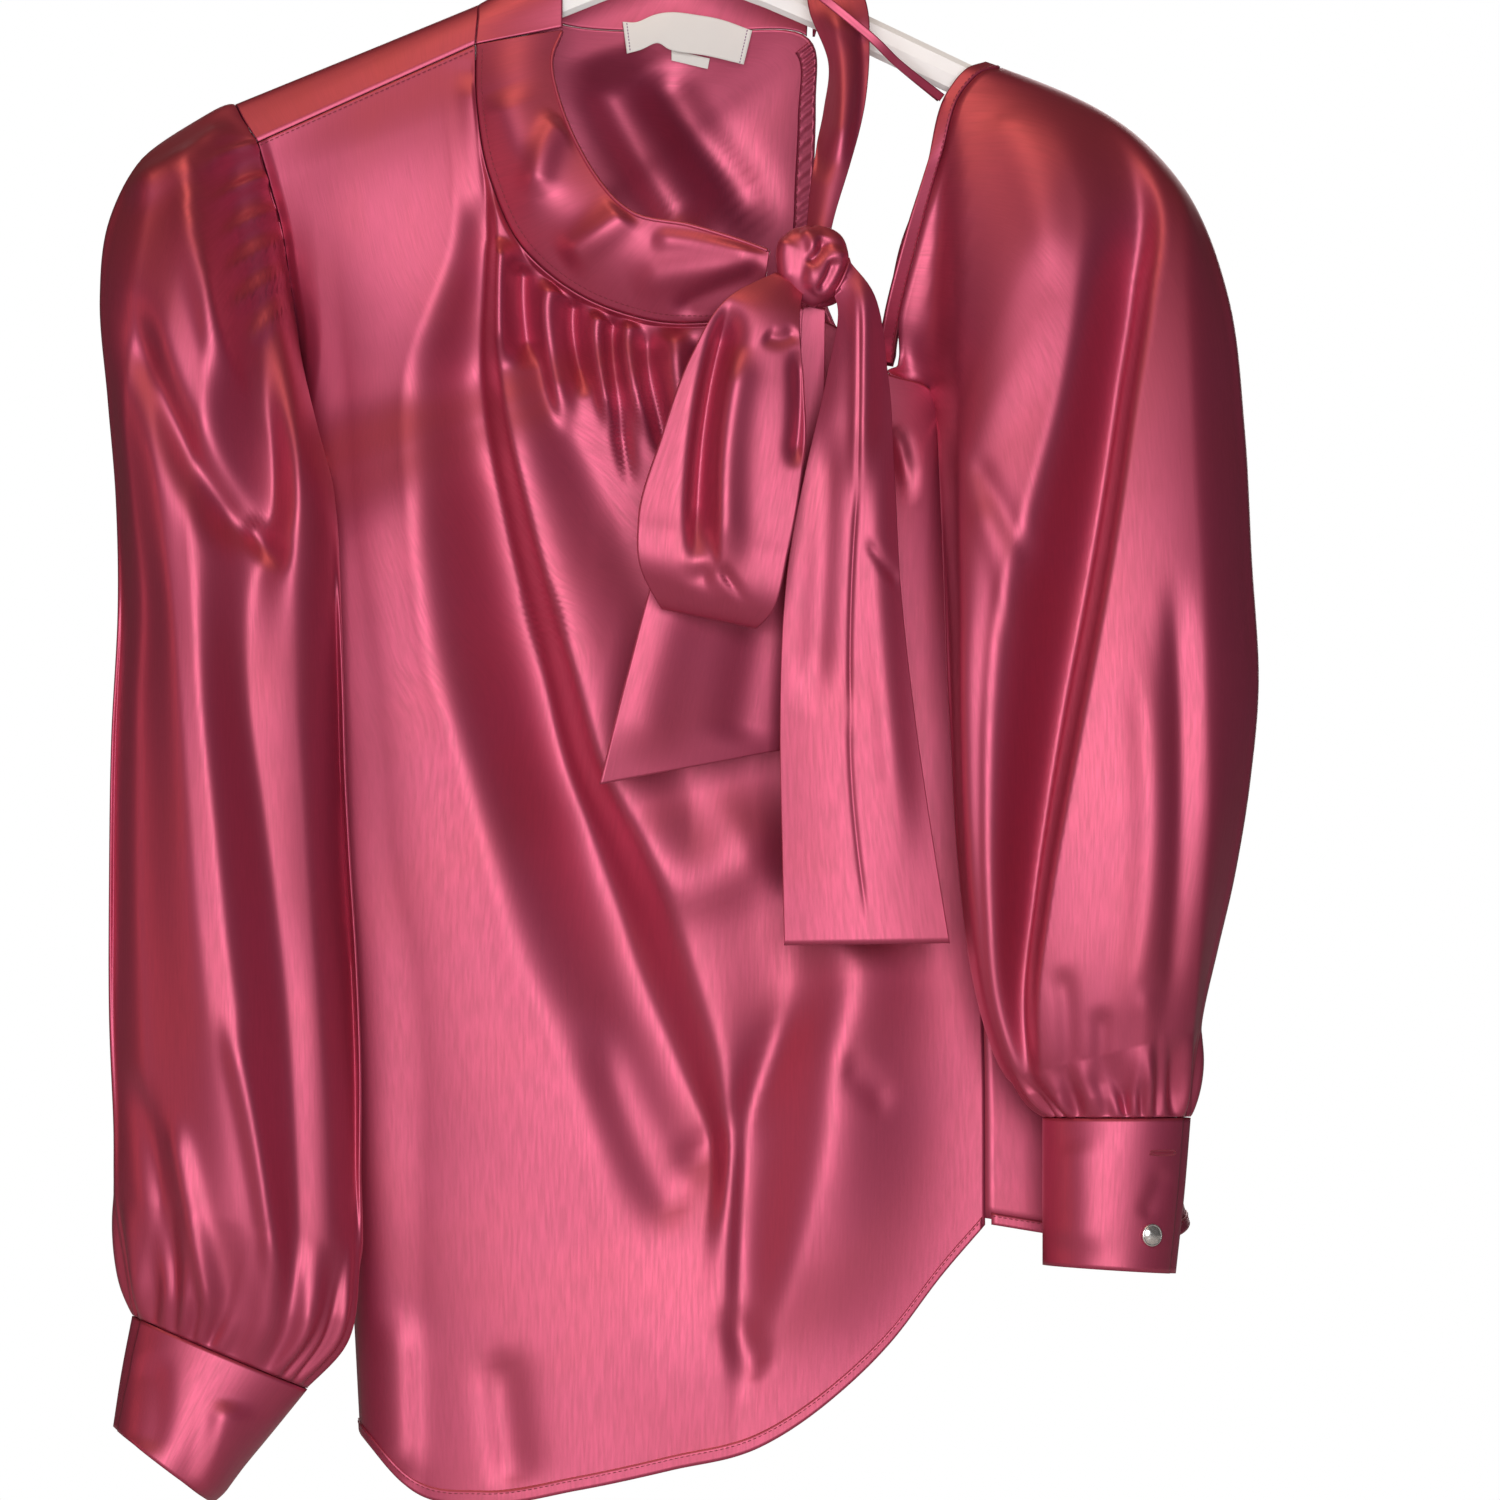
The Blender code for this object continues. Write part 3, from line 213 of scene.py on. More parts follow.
def relief(x, z, folds):
    """The sum of soft ridges: height times exp(-(distance / width) squared) on each side of a bowed line,
    tapered to nothing over about a fifth of the line at each end."""
    total = np.zeros(x.shape)
    t = np.linspace(0, 1, 61)
    for x0, z0, x1, z1, x2, z2, left, right, height in folds:
        line_x = x0 * (1 - t) * (1 - 2 * t) + x1 * 4 * t * (1 - t) + x2 * t * (2 * t - 1)
        line_z = z0 * (1 - t) * (1 - 2 * t) + z1 * 4 * t * (1 - t) + z2 * t * (2 * t - 1)
        reach = 3 * max(left, right)
        close = (x > line_x.min() - reach) & (x < line_x.max() + reach)
        close &= (z > line_z.min() - reach) & (z < line_z.max() + reach)
        dx = x[close][:, None] - line_x
        dz = z[close][:, None] - line_z
        near = (dx**2 + dz**2).argmin(-1)
        here = np.arange(len(near))
        dx, dz = dx[here, near], dz[here, near]
        # past the nearest point the distance is measured to the line's own direction there
        run_x, run_z = np.gradient(line_x)[near], np.gradient(line_z)[near]
        long = np.hypot(run_x, run_z)
        side = (run_x * dz - run_z * dx) / long
        ahead = (run_x * dx + run_z * dz) / long
        inside = (near > 0) & (near < len(t) - 1)
        far = np.where(inside, side**2, side**2 + ahead**2)
        place = np.clip(t[near] + np.where(inside, ahead / long * t[1], 0), 0, 1)
        width = np.where(side < 0, left, right)
        taper = smooth(np.minimum(place, 1 - place) / FOLD_TAPER)
        total[close] += height * taper * np.exp(-far / width**2)
    return total


def draped(x, z, rows):
    """Height of a drape: a row holds z and then pairs of x and height, which S curves join; Hermite curves
    join the rows."""
    values = through(sorted(rows), z)
    places, heights = values[..., 0::2], values[..., 1::2]
    total = heights[..., 0]
    for k in range(places.shape[-1] - 1):
        share = smooth((x - places[..., k]) / (places[..., k + 1] - places[..., k]))
        total = total + (heights[..., k + 1] - heights[..., k]) * share
    return total


def bulge(turn, first, depth, level):
    """y of a section: depth sin(turn), made fuller towards the viewer below the chest, where the sine's size
    goes over to its own power FULLNESS."""
    s = np.sin(turn)
    fuller = np.abs(s) ** FULLNESS - np.abs(s)
    fuller = fuller * smooth(level / FULL_LEVEL) * smooth((turn - first) / FULL_TURN)
    return depth * np.sign(s) * (np.abs(s) + fuller * (depth * s < 0))


def along_section(across, level, left, right_x, depth, last_turn):
    """Points of a body section, an arc of a flattened ellipse: x = middle - half cos(turn), y its bulge, the
    share of the width that is passed, and the turn itself."""
    left_x, left_y = left
    _, _, _, end_x, _, set_back, first = columns(SECTIONS, level)
    first = np.radians(first)
    half = (end_x - left_x) / (1 + np.cos(first))
    middle = end_x - half
    last = np.arccos(np.clip((middle - right_x) / half, -1, 1))
    turn = first + across * (last_turn(last) - first)
    x = middle - half * np.cos(turn)
    share = (x - left_x) / (end_x - left_x)
    y = (left_y - depth * np.sin(first)) * (1 - share) + bulge(turn, first, depth, level)
    y = y + set_back * np.clip(share, 0, 1) ** 1.5
    wide = np.where(turn > np.pi, end_x, x)
    reach = np.where(last_turn(last) > np.pi, end_x, right_x)
    return x, y, (wide - left_x) / (reach - left_x), turn


def edge_fade(share, first, last):
    """0 where a share is 0 or 1 and 1 between, with S curves this wide, so that folds die out at a seam."""
    return smooth(share / first) * smooth((1 - share) / last)


def front(across, level):
    """A point of the front: across runs from the left seam to the collar or the right seam."""
    left_x, left_y, left_z, _, depth, _, _ = columns(SECTIONS, level)
    right_x, right_z = columns(FRONT_RIGHT, level)
    x, y, share, _ = along_section(across, level, (left_x, left_y), right_x, -depth, lambda last: last)
    z = left_z + (right_z - left_z) * share - columns(HEM_DIP, share)[0] * level**HEM_POWER
    height = relief(x, z, FRONT_FOLDS) + draped(x, z, FRONT_DRAPE)
    y = y - height * edge_fade(across, 0.06, np.where(level > 0.5, 0.2, 0.02))
    return np.stack([x, y, z], -1)


def back(across, level):
    """A point of the back, which comes forward over the shoulder and round the body's right end.
    Each row of the two arrays is one level, and its last column is where across is greatest."""
    side_seam = level >= SIDE_SEAM_TOP
    left_x, left_y, left_z = np.where(side_seam, columns(SECTIONS, level)[:3], columns(BACK_LEFT, level))
    right_x, right_z, depth = columns(BACK_RIGHT, level)
    below = level > UNDERARM_LEVEL
    seam_x, seam_z = columns(FRONT_RIGHT, level)
    right_x = np.where(below, seam_x, right_x)
    right_z = np.where(below, seam_z, right_z)
    depth = np.where(below, columns(SECTIONS, level)[4], depth)
    wrap = smooth((level - ARMPIT_LEVEL) / (UNDERARM_LEVEL - ARMPIT_LEVEL))

    def last_turn(last):
        return last + wrap * (2 * np.pi - 2 * last)

    x, y, share, turn = along_section(across, level, (left_x, left_y), right_x, depth, last_turn)
    past_end = np.clip(turn - np.pi, 0, None) / np.maximum(turn[:, -1:] - np.pi, 0.01)
    dip = columns(BACK_HEM_DIP, share)[0] + BACK_CORNER_DIP * np.sin(np.pi * np.clip(past_end, 0, 1))
    z = left_z + (right_z - left_z) * share - dip * level**HEM_POWER
    y = y + relief(x, z, BACK_FOLDS) * edge_fade(across, 0.08, 0.08) * (turn < np.pi)
    return np.stack([x, y, z], -1)


def grid(rows, across):
    """Two arrays, one of each row's parameter and one of each column's."""
    return np.meshgrid(np.asarray(rows, float), np.asarray(across, float), indexing="ij")


def draw_in(points, first_row=0.0, last_row=0.0, first_column=0.0, last_column=0.0):
    """Moves a grid's edges inwards along the cloth by these distances, and the three lines of points behind
    an edge by three quarters, a half and a quarter of its distance."""
    points = points.copy()
    for axis, at, gap in ((0, 0, first_row), (0, -1, last_row), (1, 0, first_column), (1, -1, last_column)):
        lines = np.moveaxis(points, axis, 0)
        lines = lines if at == 0 else lines[::-1]
        gap = np.reshape(gap, (-1, 1))
        step = lines[4] - lines[0]
        step = step / np.linalg.norm(step, axis=-1, keepdims=True)
        for k in range(4):
            lines[k] += step * gap * (1 - k / 4)
    return points


def cloth_lengths(points):
    """UV in metres of cloth: the mean distance walked along the grid's rows and columns from its first
    corner."""
    over = np.linalg.norm(np.diff(points, axis=1), axis=-1).mean(0)
    down = np.linalg.norm(np.diff(points, axis=0), axis=-1).mean(1)
    u = np.concatenate([[0], np.cumsum(over)])
    v = np.concatenate([[0], np.cumsum(down)])
    return np.stack(np.broadcast_arrays(u[None, :], v[:, None]), -1) * MM


def quads_of(rows, count, closed):
    """The grid's faces, each as four point numbers: r count + c for the point in row r and column c."""
    r, c = np.meshgrid(np.arange(rows - 1), np.arange(count if closed else count - 1), indexing="ij")
    here, after = r * count + c, r * count + (c + 1) % count
    return np.stack([here, after, after + count, here + count], -1).reshape(-1, 4)


def placed(name, mesh, look):
    """A smooth mesh in its material as a piece of the scene, which rides the one body."""
    mesh.polygons.foreach_set("use_smooth", np.ones(len(mesh.polygons), bool))
    mesh.materials.append(look)
    piece = bpy.data.objects.new(name, mesh)
    bpy.context.scene.collection.objects.link(piece)
    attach(piece, "root")
    return piece


def cloth(name, points, look, closed=False, wall=WALL):
    """One piece of cloth: a grid of points with faces and a UV map in metres, walled by Solidify. Round a
    closed grid the last face's far corners are one column past the others."""
    rows, count = points.shape[:2]
    quads = quads_of(rows, count, closed)
    uv = cloth_lengths(points)
    r, c = np.divmod(quads, count)
    if closed:
        uv = np.concatenate([uv, uv[:, -1:] * 2 - uv[:, -2:-1]], 1)
        c[:, 1:3] = np.where(c[:, 1:3] < c[:, :1], count, c[:, 1:3])
    mesh = bpy.data.meshes.new(name)
    mesh.from_pydata(points.reshape(-1, 3) * MM, [], quads.tolist())
    corners = np.ascontiguousarray(uv[r, c], np.float32)
    mesh.uv_layers.new(name="cloth").data.foreach_set("uv", corners.ravel())
    piece = placed(name, mesh, look)
    thicken = piece.modifiers.new("wall", "SOLIDIFY")
    thicken.thickness = wall * MM
    thicken.offset = 0
    return piece


class Wire:
    """A number in a material: + and * between wires, or with plain numbers, add Math nodes."""

    def __init__(self, look, socket):
        self.look = look
        self.socket = socket

    def math(self, operation, first, second):
        """One Math node on two values or wires."""
        return self.look.node("ShaderNodeMath", {"operation": operation}, {0: first, 1: second})

    def __add__(self, other):
        return self.math("ADD", self, other)

    def __mul__(self, other):
        return self.math("MULTIPLY", self, other)

    __radd__ = __add__
    __rmul__ = __mul__


class Look:
    """A material whose nodes are added one call at a time."""

    def __init__(self, name, **shader_values):
        self.material = bpy.data.materials.new(name)
        self.material.use_nodes = True
        self.tree = self.material.node_tree
        self.shader = self.tree.nodes["Principled BSDF"]
        for socket, value in shader_values.items():
            self.shader.inputs[socket.replace("_", " ")].default_value = value

    def node(self, kind, settings=None, inputs=None, output=0):
        """Adds a node: its settings first, then the values or links of its sockets; gives one output."""
        added = self.tree.nodes.new(kind)
        for key, value in (settings or {}).items():
            setattr(added, key, value)
        for key, value in (inputs or {}).items():
            if isinstance(value, Wire):
                self.tree.links.new(value.socket, added.inputs[key])
            else:
                added.inputs[key].default_value = value
        return Wire(self, added.outputs[output])

    def feed(self, **links):
        """Links wires to the shader's own sockets."""
        for socket, wire in links.items():
            self.tree.links.new(wire.socket, self.shader.inputs[socket.replace("_", " ")])

    def spread(self, wire, low, high):
        """An S curve from 0 where the value is low to 1 where it is high."""
        settings = {"interpolation_type": "SMOOTHSTEP"}
        return self.node("ShaderNodeMapRange", settings, {0: wire, 1: low, 2: high})

    def mixed(self, share, first, second):
        """One colour into another by a share."""
        settings = {"data_type": "RGBA"}
        return self.node("ShaderNodeMix", settings, {"Factor": share, 6: first, 7: second}, output=2)


RASPBERRY = (0.46, 0.042, 0.115, 1)
# orange-red is the colour of the painted warm light on up-facing satin, and also of some random tone
ORANGE_RED = (0.46, 0.040, 0.066, 1)
BURGUNDY = (0.22, 0.012, 0.030, 1)


def satin():
    """Satin weave: long floats along the warp give a soft streaky sheen; cloth that faces up is painted
    warmer, a painted warm light from above.
    """
    look = Look("satin", Metallic=0.72, IOR=1.5, Coat_Weight=1.0, Coat_Roughness=0.48)
    uv = look.node("ShaderNodeUVMap", {"uv_map": "cloth"})
    warp = look.node("ShaderNodeMapping", {}, {"Vector": uv, "Scale": (900, 60, 1)})
    floats = {"Vector": warp, "Scale": 1.0, "Detail": 3.0, "Roughness": 0.6}
    streak = look.node("ShaderNodeTexNoise", {}, floats)
    broad = look.node("ShaderNodeTexNoise", {}, {"Vector": uv, "Scale": 14.0, "Detail": 2.0})
    # painted light: the more the cloth faces up, the more it is mixed from raspberry towards orange-red, a
    # painted warm light from above; the broad noise adds a little random tone to the same mix
    facing = look.node("ShaderNodeNewGeometry", {}, {}, output="Normal")
    up = look.node("ShaderNodeSeparateXYZ", {}, {0: facing}, output="Z")
    painted_warm_top_light = look.spread(up, 0.12, 0.60)
    share = painted_warm_top_light * 0.75 + look.spread(broad, 0.35, 0.75) * 0.22
    colour = look.mixed(share, RASPBERRY, ORANGE_RED)
    colour = look.mixed(look.spread(streak, 0.35, 0.7) * 0.10, colour, BURGUNDY)
    bump = look.node("ShaderNodeBump", {}, {"Strength": 0.10, "Distance": 0.0004, "Height": streak})
    look.feed(Base_Color=colour, Normal=bump, Roughness=0.45 + look.spread(streak, 0.2, 0.8) * 0.10)
    return look.material


SATIN_FACE = satin()


def thread_look(name, colour):
    """Polyester thread: a twisted strand, a little duller than the satin."""
    look = Look(name, Roughness=0.5, Sheen_Weight=0.2)
    place = look.node("ShaderNodeTexCoord", {}, {}, output="Object")
    twist = look.node("ShaderNodeTexNoise", {}, {"Vector": place, "Scale": 2500.0, "Detail": 2.0})
    dark = tuple(0.6 * part for part in colour[:3]) + (1,)
    bump = look.node("ShaderNodeBump", {}, {"Strength": 0.5, "Distance": 0.0002, "Height": twist})
    look.feed(Base_Color=look.mixed(twist, dark, colour), Normal=bump)
    return look.material


THREAD = thread_look("satin_thread", (0.30, 0.012, 0.04, 1))


def outwards(points):
    """Unit normals of a grid: the cross product of its two directions."""
    rows, over = np.gradient(points, axis=0), np.gradient(points, axis=1)
    normal = np.cross(over, rows)
    return normal / np.maximum(np.linalg.norm(normal, axis=-1, keepdims=True), 1e-9)


def lifted(points, height):
    """The grid moved along its normals, by one height or by one for each point."""
    return points + outwards(points) * np.broadcast_to(height, points.shape[:2])[..., None]


def stitches(name, path, out, pitch=2.7, length=1.9, width=0.5, look=THREAD):
    """A row of stitches along a path: one bead each pitch, of five rings whose radius is that of an
    ellipsoid, so that it sinks into the cloth at its ends."""
    steps = np.concatenate([[0], np.cumsum(np.linalg.norm(np.diff(path, axis=0), axis=1))])
    starts = np.arange(0.4, steps[-1] - length, pitch)
    along = np.linspace(0, 1, 5)
    around = np.linspace(0, 2 * np.pi, 7)[:-1]
    at = starts[:, None] + along * length
    middle = np.stack([np.interp(at, steps, path[:, k]) for k in range(3)], -1)
    up = np.stack([np.interp(at, steps, out[:, k]) for k in range(3)], -1)
    up /= np.linalg.norm(up, axis=-1, keepdims=True)
    run = np.gradient(middle, axis=1)
    side = np.cross(run, up)
    side /= np.linalg.norm(side, axis=-1, keepdims=True)
    swell = np.sqrt(np.maximum(0.12, 1 - (2 * along - 1) ** 2))[None, :, None, None] * width / 2
    ring = np.cos(around)[:, None] * side[:, :, None] + np.sin(around)[:, None] * up[:, :, None]
    points = middle[:, :, None] + ring * swell
    count, rings, spokes = points.shape[:3]
    one = quads_of(rings, spokes, True)
    quads = (one[None] + np.arange(count)[:, None, None] * rings * spokes).reshape(-1, 4)
    first = np.arange(count)[:, None] * rings * spokes + np.arange(spokes)[::-1]
    last = np.arange(count)[:, None] * rings * spokes + (rings - 1) * spokes + np.arange(spokes)
    mesh = bpy.data.meshes.new(name)
    mesh.from_pydata(points.reshape(-1, 3) * MM, [], quads.tolist() + first.tolist() + last.tolist())
    turn_outwards(mesh)
    piece = placed(name, mesh, look)
    return piece


def turn_outwards(mesh):
    """Gives a closed mesh's faces one winding, with their normals outwards."""
    work = bmesh.new()
    work.from_mesh(mesh)
    bmesh.ops.recalc_face_normals(work, faces=work.faces)
    work.to_mesh(mesh)
    work.free()


# the levels of the panels' rows, closest together at the neck's gathers and at the hem
neck = np.linspace(0, 0.2, 64)
chest = np.linspace(0.2, ARMPIT_LEVEL, 96)[1:]
skirt = np.linspace(ARMPIT_LEVEL, 0.985, 78)[1:]
body_levels = np.concatenate([neck, chest, skirt, np.linspace(0.985, 1, 5)[1:]])
level, across = grid(body_levels, np.linspace(0, 1, 200))
front_points = draw_in(front(across, level), SEAM_GAP, 0, SEAM_GAP, RIGHT_GAP)
front_panel = cloth("front_panel", front_points, SATIN_FACE)
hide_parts("front")

level, across = grid(body_levels[::2], np.linspace(0, 1, 150))
back_points = draw_in(back(across, level), SEAM_GAP, 0, SEAM_GAP, RIGHT_GAP)
back_panel = cloth("back_panel", back_points[:, ::-1], SATIN_FACE)
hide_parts("back")


def hem_band(name, side, facing):
    """The turned-up hem and its stitches: the panel's last few millimetres again, lifted off its points on
    the side that facing, 1 or -1, names."""
    levels = np.linspace(1 - HEM_WIDTH / PANEL_DROP, 1, 5)
    level, across = grid(levels, np.linspace(0.004, 0.996, 240))
    points = lifted(side(across, level), facing * HEM_LIFT)
    band = cloth(name, points, SATIN_FACE, wall=HEM_WALL)
    seam = lifted(points, facing * 0.3)[1]
    line = stitches(name + "_stitches", seam, outwards(points)[1] * facing)
    return [band, line]


# the cut-out's narrow hem, on the inside of the back, drawn up a little by its stitching
level, across = grid(np.linspace(*CUT_OUT_LEVELS, 200), np.linspace(*CUT_OUT_HEM, 8))
points = lifted(back(across, level), -0.8 - 0.25 * np.sin(level * 900) * (across > 0.97))
cut_out_hem = cloth("cut_out_hem", points, SATIN_FACE, wall=HEM_WALL)
stitches("cut_out_stitches", lifted(points, -0.3)[:, 1], -outwards(points)[:, 1])

front_hem = hem_band("front_hem", front, -1)
back_hem = hem_band("back_hem", back, 1)
stitches("shoulder_stitches", lifted(front_points, -0.7)[2], -outwards(front_points)[2])

# Stand collar. One long bias band of doubled satin, sewn round the neckline from the cut-out across the
# back of the neck and down the front to the knot. It stands about 40 mm high, and its free edge is rolled.
COLLAR_LEVEL = 0.44  # level of the front at which the collar goes under the knot
COLLAR_BOW = 5  # how far the front of the collar bows towards the viewer
BACK_BOW = 3
COLLAR_GAP = 0.8
DOUBLED_WALL = 1.2  # two layers of satin, also in the tie
ROLL_RADIUS = 1.0
# share, x, y, z
COLLAR_FRONT_EDGE = (
    (0.00, -55, -13, -110),
    (0.13, -60, -22, -127),
    (0.25, -54, -32, -151),
    (0.40, -39, -44, -180),
    (0.55, -22, -52, -197),
    (0.72, 5, -56, -203),
    (0.87, 28, -59, -210),
    (1.00, 44, -62, -216),
)
COLLAR_BACK_EDGE = (
    (0.00, -55, -11, -109),
    (0.10, -55, -6, -90),
    (0.20, -55, 3, -75),
    (0.32, -46, 14, -67),
    (0.50, -19, 22, -64),
    (0.75, 24, 26, -65),
    (1.00, 62, 26, -72),
)
COLLAR_FOLDS = (
    (-85, -138, -75, -166, -63, -204, 10, 12, 3),
    (-55, -152, -63, -166, -70, -190, 6, 8, 4),
    (-24, -194, -38, -206, -56, -219, 7, 9, 5),
    (45, -219, 9, -223, -24, -232, 9, 8, 3),
    (42, -224, 19, -232, -5, -244, 5, 7, -3),
    (42, -216, 9, -211, -14, -209, 4, 5, 2),
)


def collar_front(across, along):
    """From the neck seam up to the free edge, bowed forwards, with its folds."""
    seam = front(np.ones_like(along), along * COLLAR_LEVEL)
    points = seam + (through(COLLAR_FRONT_EDGE, along) - seam) * across[..., None]
    points[..., 1] -= COLLAR_BOW * np.sin(np.pi * across)
    points[..., 1] -= relief(points[..., 0], points[..., 2], COLLAR_FOLDS) * edge_fade(across, 0.15, 0.1)
    return points


def collar_back(across, along):
    """The same band across the back of the neck."""
    seam = back(np.ones_like(along.T), along.T * NECK_END).transpose(1, 0, 2)
    points = seam + (through(COLLAR_BACK_EDGE, along) - seam) * across[..., None]
    points[..., 1] += BACK_BOW * np.sin(np.pi * across) * smooth((along - 0.3) / 0.2)
    return points


def rolled_edge(name, edge):
    """A fold of cloth along a free edge: a small round carried along the edge's points."""
    angle = np.linspace(0, 2 * np.pi, 9)[:-1]
    run = np.gradient(edge, axis=0)
    run /= np.linalg.norm(run, axis=1, keepdims=True)
    side = np.cross(run, (0.0, 1.0, 0.0))
    side /= np.linalg.norm(side, axis=1, keepdims=True)
    up = np.cross(side, run)
    spokes = np.cos(angle)[:, None] * side[:, None] + np.sin(angle)[:, None] * up[:, None]
    return tube(name, edge[:, None] + ROLL_RADIUS * spokes, SATIN_FACE)


def tube(name, rings, look):
    """Closed rings of points joined, with a flat cap at each end; the UV counts a millimetre a point."""
    rows, count = rings.shape[:2]
    quads = quads_of(rows, count, True)
    caps = [list(range(count))[::-1], [(rows - 1) * count + k for k in range(count)]]
    mesh = bpy.data.meshes.new(name)
    mesh.from_pydata(rings.reshape(-1, 3) * MM, [], quads.tolist() + caps)
    corners = np.concatenate([quads.ravel(), np.concatenate(caps)])
    r, c = np.divmod(corners, count)
    uv = np.stack([c * MM, r * MM], -1).astype(np.float32)
    mesh.uv_layers.new(name="cloth").data.foreach_set("uv", uv.ravel())
    turn_outwards(mesh)
    return placed(name, mesh, look)


across, along = grid(np.linspace(0, 1, 36), np.linspace(0, 0.985, 260))
points = draw_in(collar_front(across, along), COLLAR_GAP, 0, SEAM_GAP, 0)
collar_front_band = cloth("collar_front_band", points, SATIN_FACE, wall=DOUBLED_WALL)
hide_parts("collar_front")

collar_roll = rolled_edge("collar_roll", points[-1, 2:-2] - (0, 0.3, 0))
stitches("collar_stitches", lifted(points, 0.75)[3, 4:-4], outwards(points)[3, 4:-4])

across, along = grid(np.linspace(0, 1, 40), np.linspace(0, 1, 160))
points = draw_in(collar_back(across, along), SEAM_GAP, 0, SEAM_GAP, SEAM_GAP)
collar_back_band = cloth("collar_back_band", points, SATIN_FACE, wall=DOUBLED_WALL)
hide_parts("collar_back")

# Sleeves. Both are very full bishop sleeves. The left one is set in with a gathered head; the right one
# leaves the shoulder bare, so only its underarm is sewn to the body and its edge is bound.
CUFF_GATHERS = 11
FINE_GATHERS = 23
GATHER_REACH = 0.12  # share of the sleeve above the cuff that the broad gathers take up
STRIP_SHARE = 0.15
RIDGE_LEVEL = 0.06
ARMHOLE_BLEND = 0.13
FLAT_BEHIND = 0.4
SLEEVE_FULLNESS = 0.6  # power of a ring's sine towards the viewer
BOUND_WIDTH = 7.5
BINDING_GAP = 0.2
BINDING_WALL = 1.8
UNDERARM_TURN = 0.5  # half of the underarm seam, where there is no binding
BINDING_END = 0.12  # the turn over which the binding's room runs out beside it
CUFF_GAP = 0.2
# share, outer x, outer y, outer z, inner x, inner y, inner z, half depth
SET_IN_RINGS = (
    (0.00, -209, 0, -145, -180, 0, -296, 18),
    (0.04, -220, -3, -144, -171, -22, -304, 30),
    (0.08, -235, -8, -156, -164, -36, -313, 40),
    (0.13, -253, -14, -172, -162, -44, -327, 46),
    (0.19, -267, -22, -200, -160, -50, -344, 48),
    (0.26, -271, -32, -237, -159, -53, -365, 48),
    (0.34, -267, -42, -284, -158, -54, -392, 46),
    (0.42, -263, -48, -331, -157, -54, -423, 44),
    (0.50, -262, -52, -383, -156, -54, -460, 42),
    (0.58, -265, -54, -444, -154, -54, -498, 40),
    (0.66, -266, -54, -509, -151, -54, -545, 39),
    (0.74, -266, -54, -571, -149, -54, -596, 39),
    (0.82, -264, -54, -622, -149, -54, -643, 38),
    (0.90, -263, -54, -667, -149, -54, -692, 37),
    (0.95, -259, -54, -694, -155, -54, -723, 33),
    (1.00, -255, -54, -712, -174, -54, -746, 25),
)
OPEN_RINGS = (
    (0.00, 144, 0, -125, 118, -2, -282, 34),
    (0.05, 160, 0, -131, 120, -10, -286, 40),
    (0.11, 187, 0, -142, 121, -24, -298, 46),
    (0.17, 216, -2, -161, 122, -38, -321, 46),
    (0.23, 240, -12, -190, 123, -49, -345, 42),
    (0.30, 257, -28, -237, 124, -58, -376, 40),
    (0.38, 264, -44, -298, 125, -65, -411, 39),
    (0.46, 267, -56, -359, 127, -68, -448, 39),
    (0.54, 270, -64, -415, 129, -70, -486, 39),
    (0.62, 266, -69, -462, 132, -71, -519, 38),
    (0.70, 259, -71, -505, 136, -71, -549, 37),
    (0.78, 251, -71, -540, 142, -71, -575, 35),
    (0.86, 244, -71, -571, 150, -71, -596, 32),
    (0.93, 241, -71, -595, 161, -71, -611, 28),
    (1.00, 238, -71, -619, 170, -71, -619, 24),
)
# share of the half turn, x, y, z
OPEN_FRONT_EDGE = ((0.0, 144, 0, -125), (0.06, 134, -8, -129), (0.12, 126, -13, -139), (0.28, 116, -27, -173),
                   (0.48, 105, -36, -209), (0.66, 96, -36, -245), (0.76, 94, -33, -260))
OPEN_BACK_EDGE = ((0.0, 144, 0, -125), (0.06, 135, 8, -129), (0.12, 127, 13, -139), (0.28, 115, 27, -180),
                  (0.48, 103, 34, -213), (0.66, 97, 34, -246), (0.76, 95, 31, -260))
SET_IN_FOLDS = (
    (-263, -190, -230, -173, -207, -155, 8, 7, 5),
    (-196, -165, -207, -169, -221, -177, 3, 3, 5),
    (-192, -180, -203, -184, -218, -192, 3, 3, 5),
    (-188, -196, -200, -200, -215, -209, 3, 3.2, 5),
    (-185, -210, -197, -215, -213, -225, 3, 3.4, 5),
    (-182, -225, -195, -231, -209, -242, 3, 3, 5),
    (-180, -240, -191, -247, -201, -258, 3, 3, 3),
    (-223, -166, -223, -213, -202, -289, 9, 3, 7),
    (-260, -232, -232, -303, -196, -359, 10, 8, -10),
    (-200, -340, -193, -353, -180, -361, 5, 6, -5),
    (-212, -566, -196, -636, -186, -707, 5, 6, 4),
    (-254, -594, -244, -650, -233, -707, 6, 7, -4),
    (-237, -613, -226, -669, -215, -721, 5, 6, 4),
)
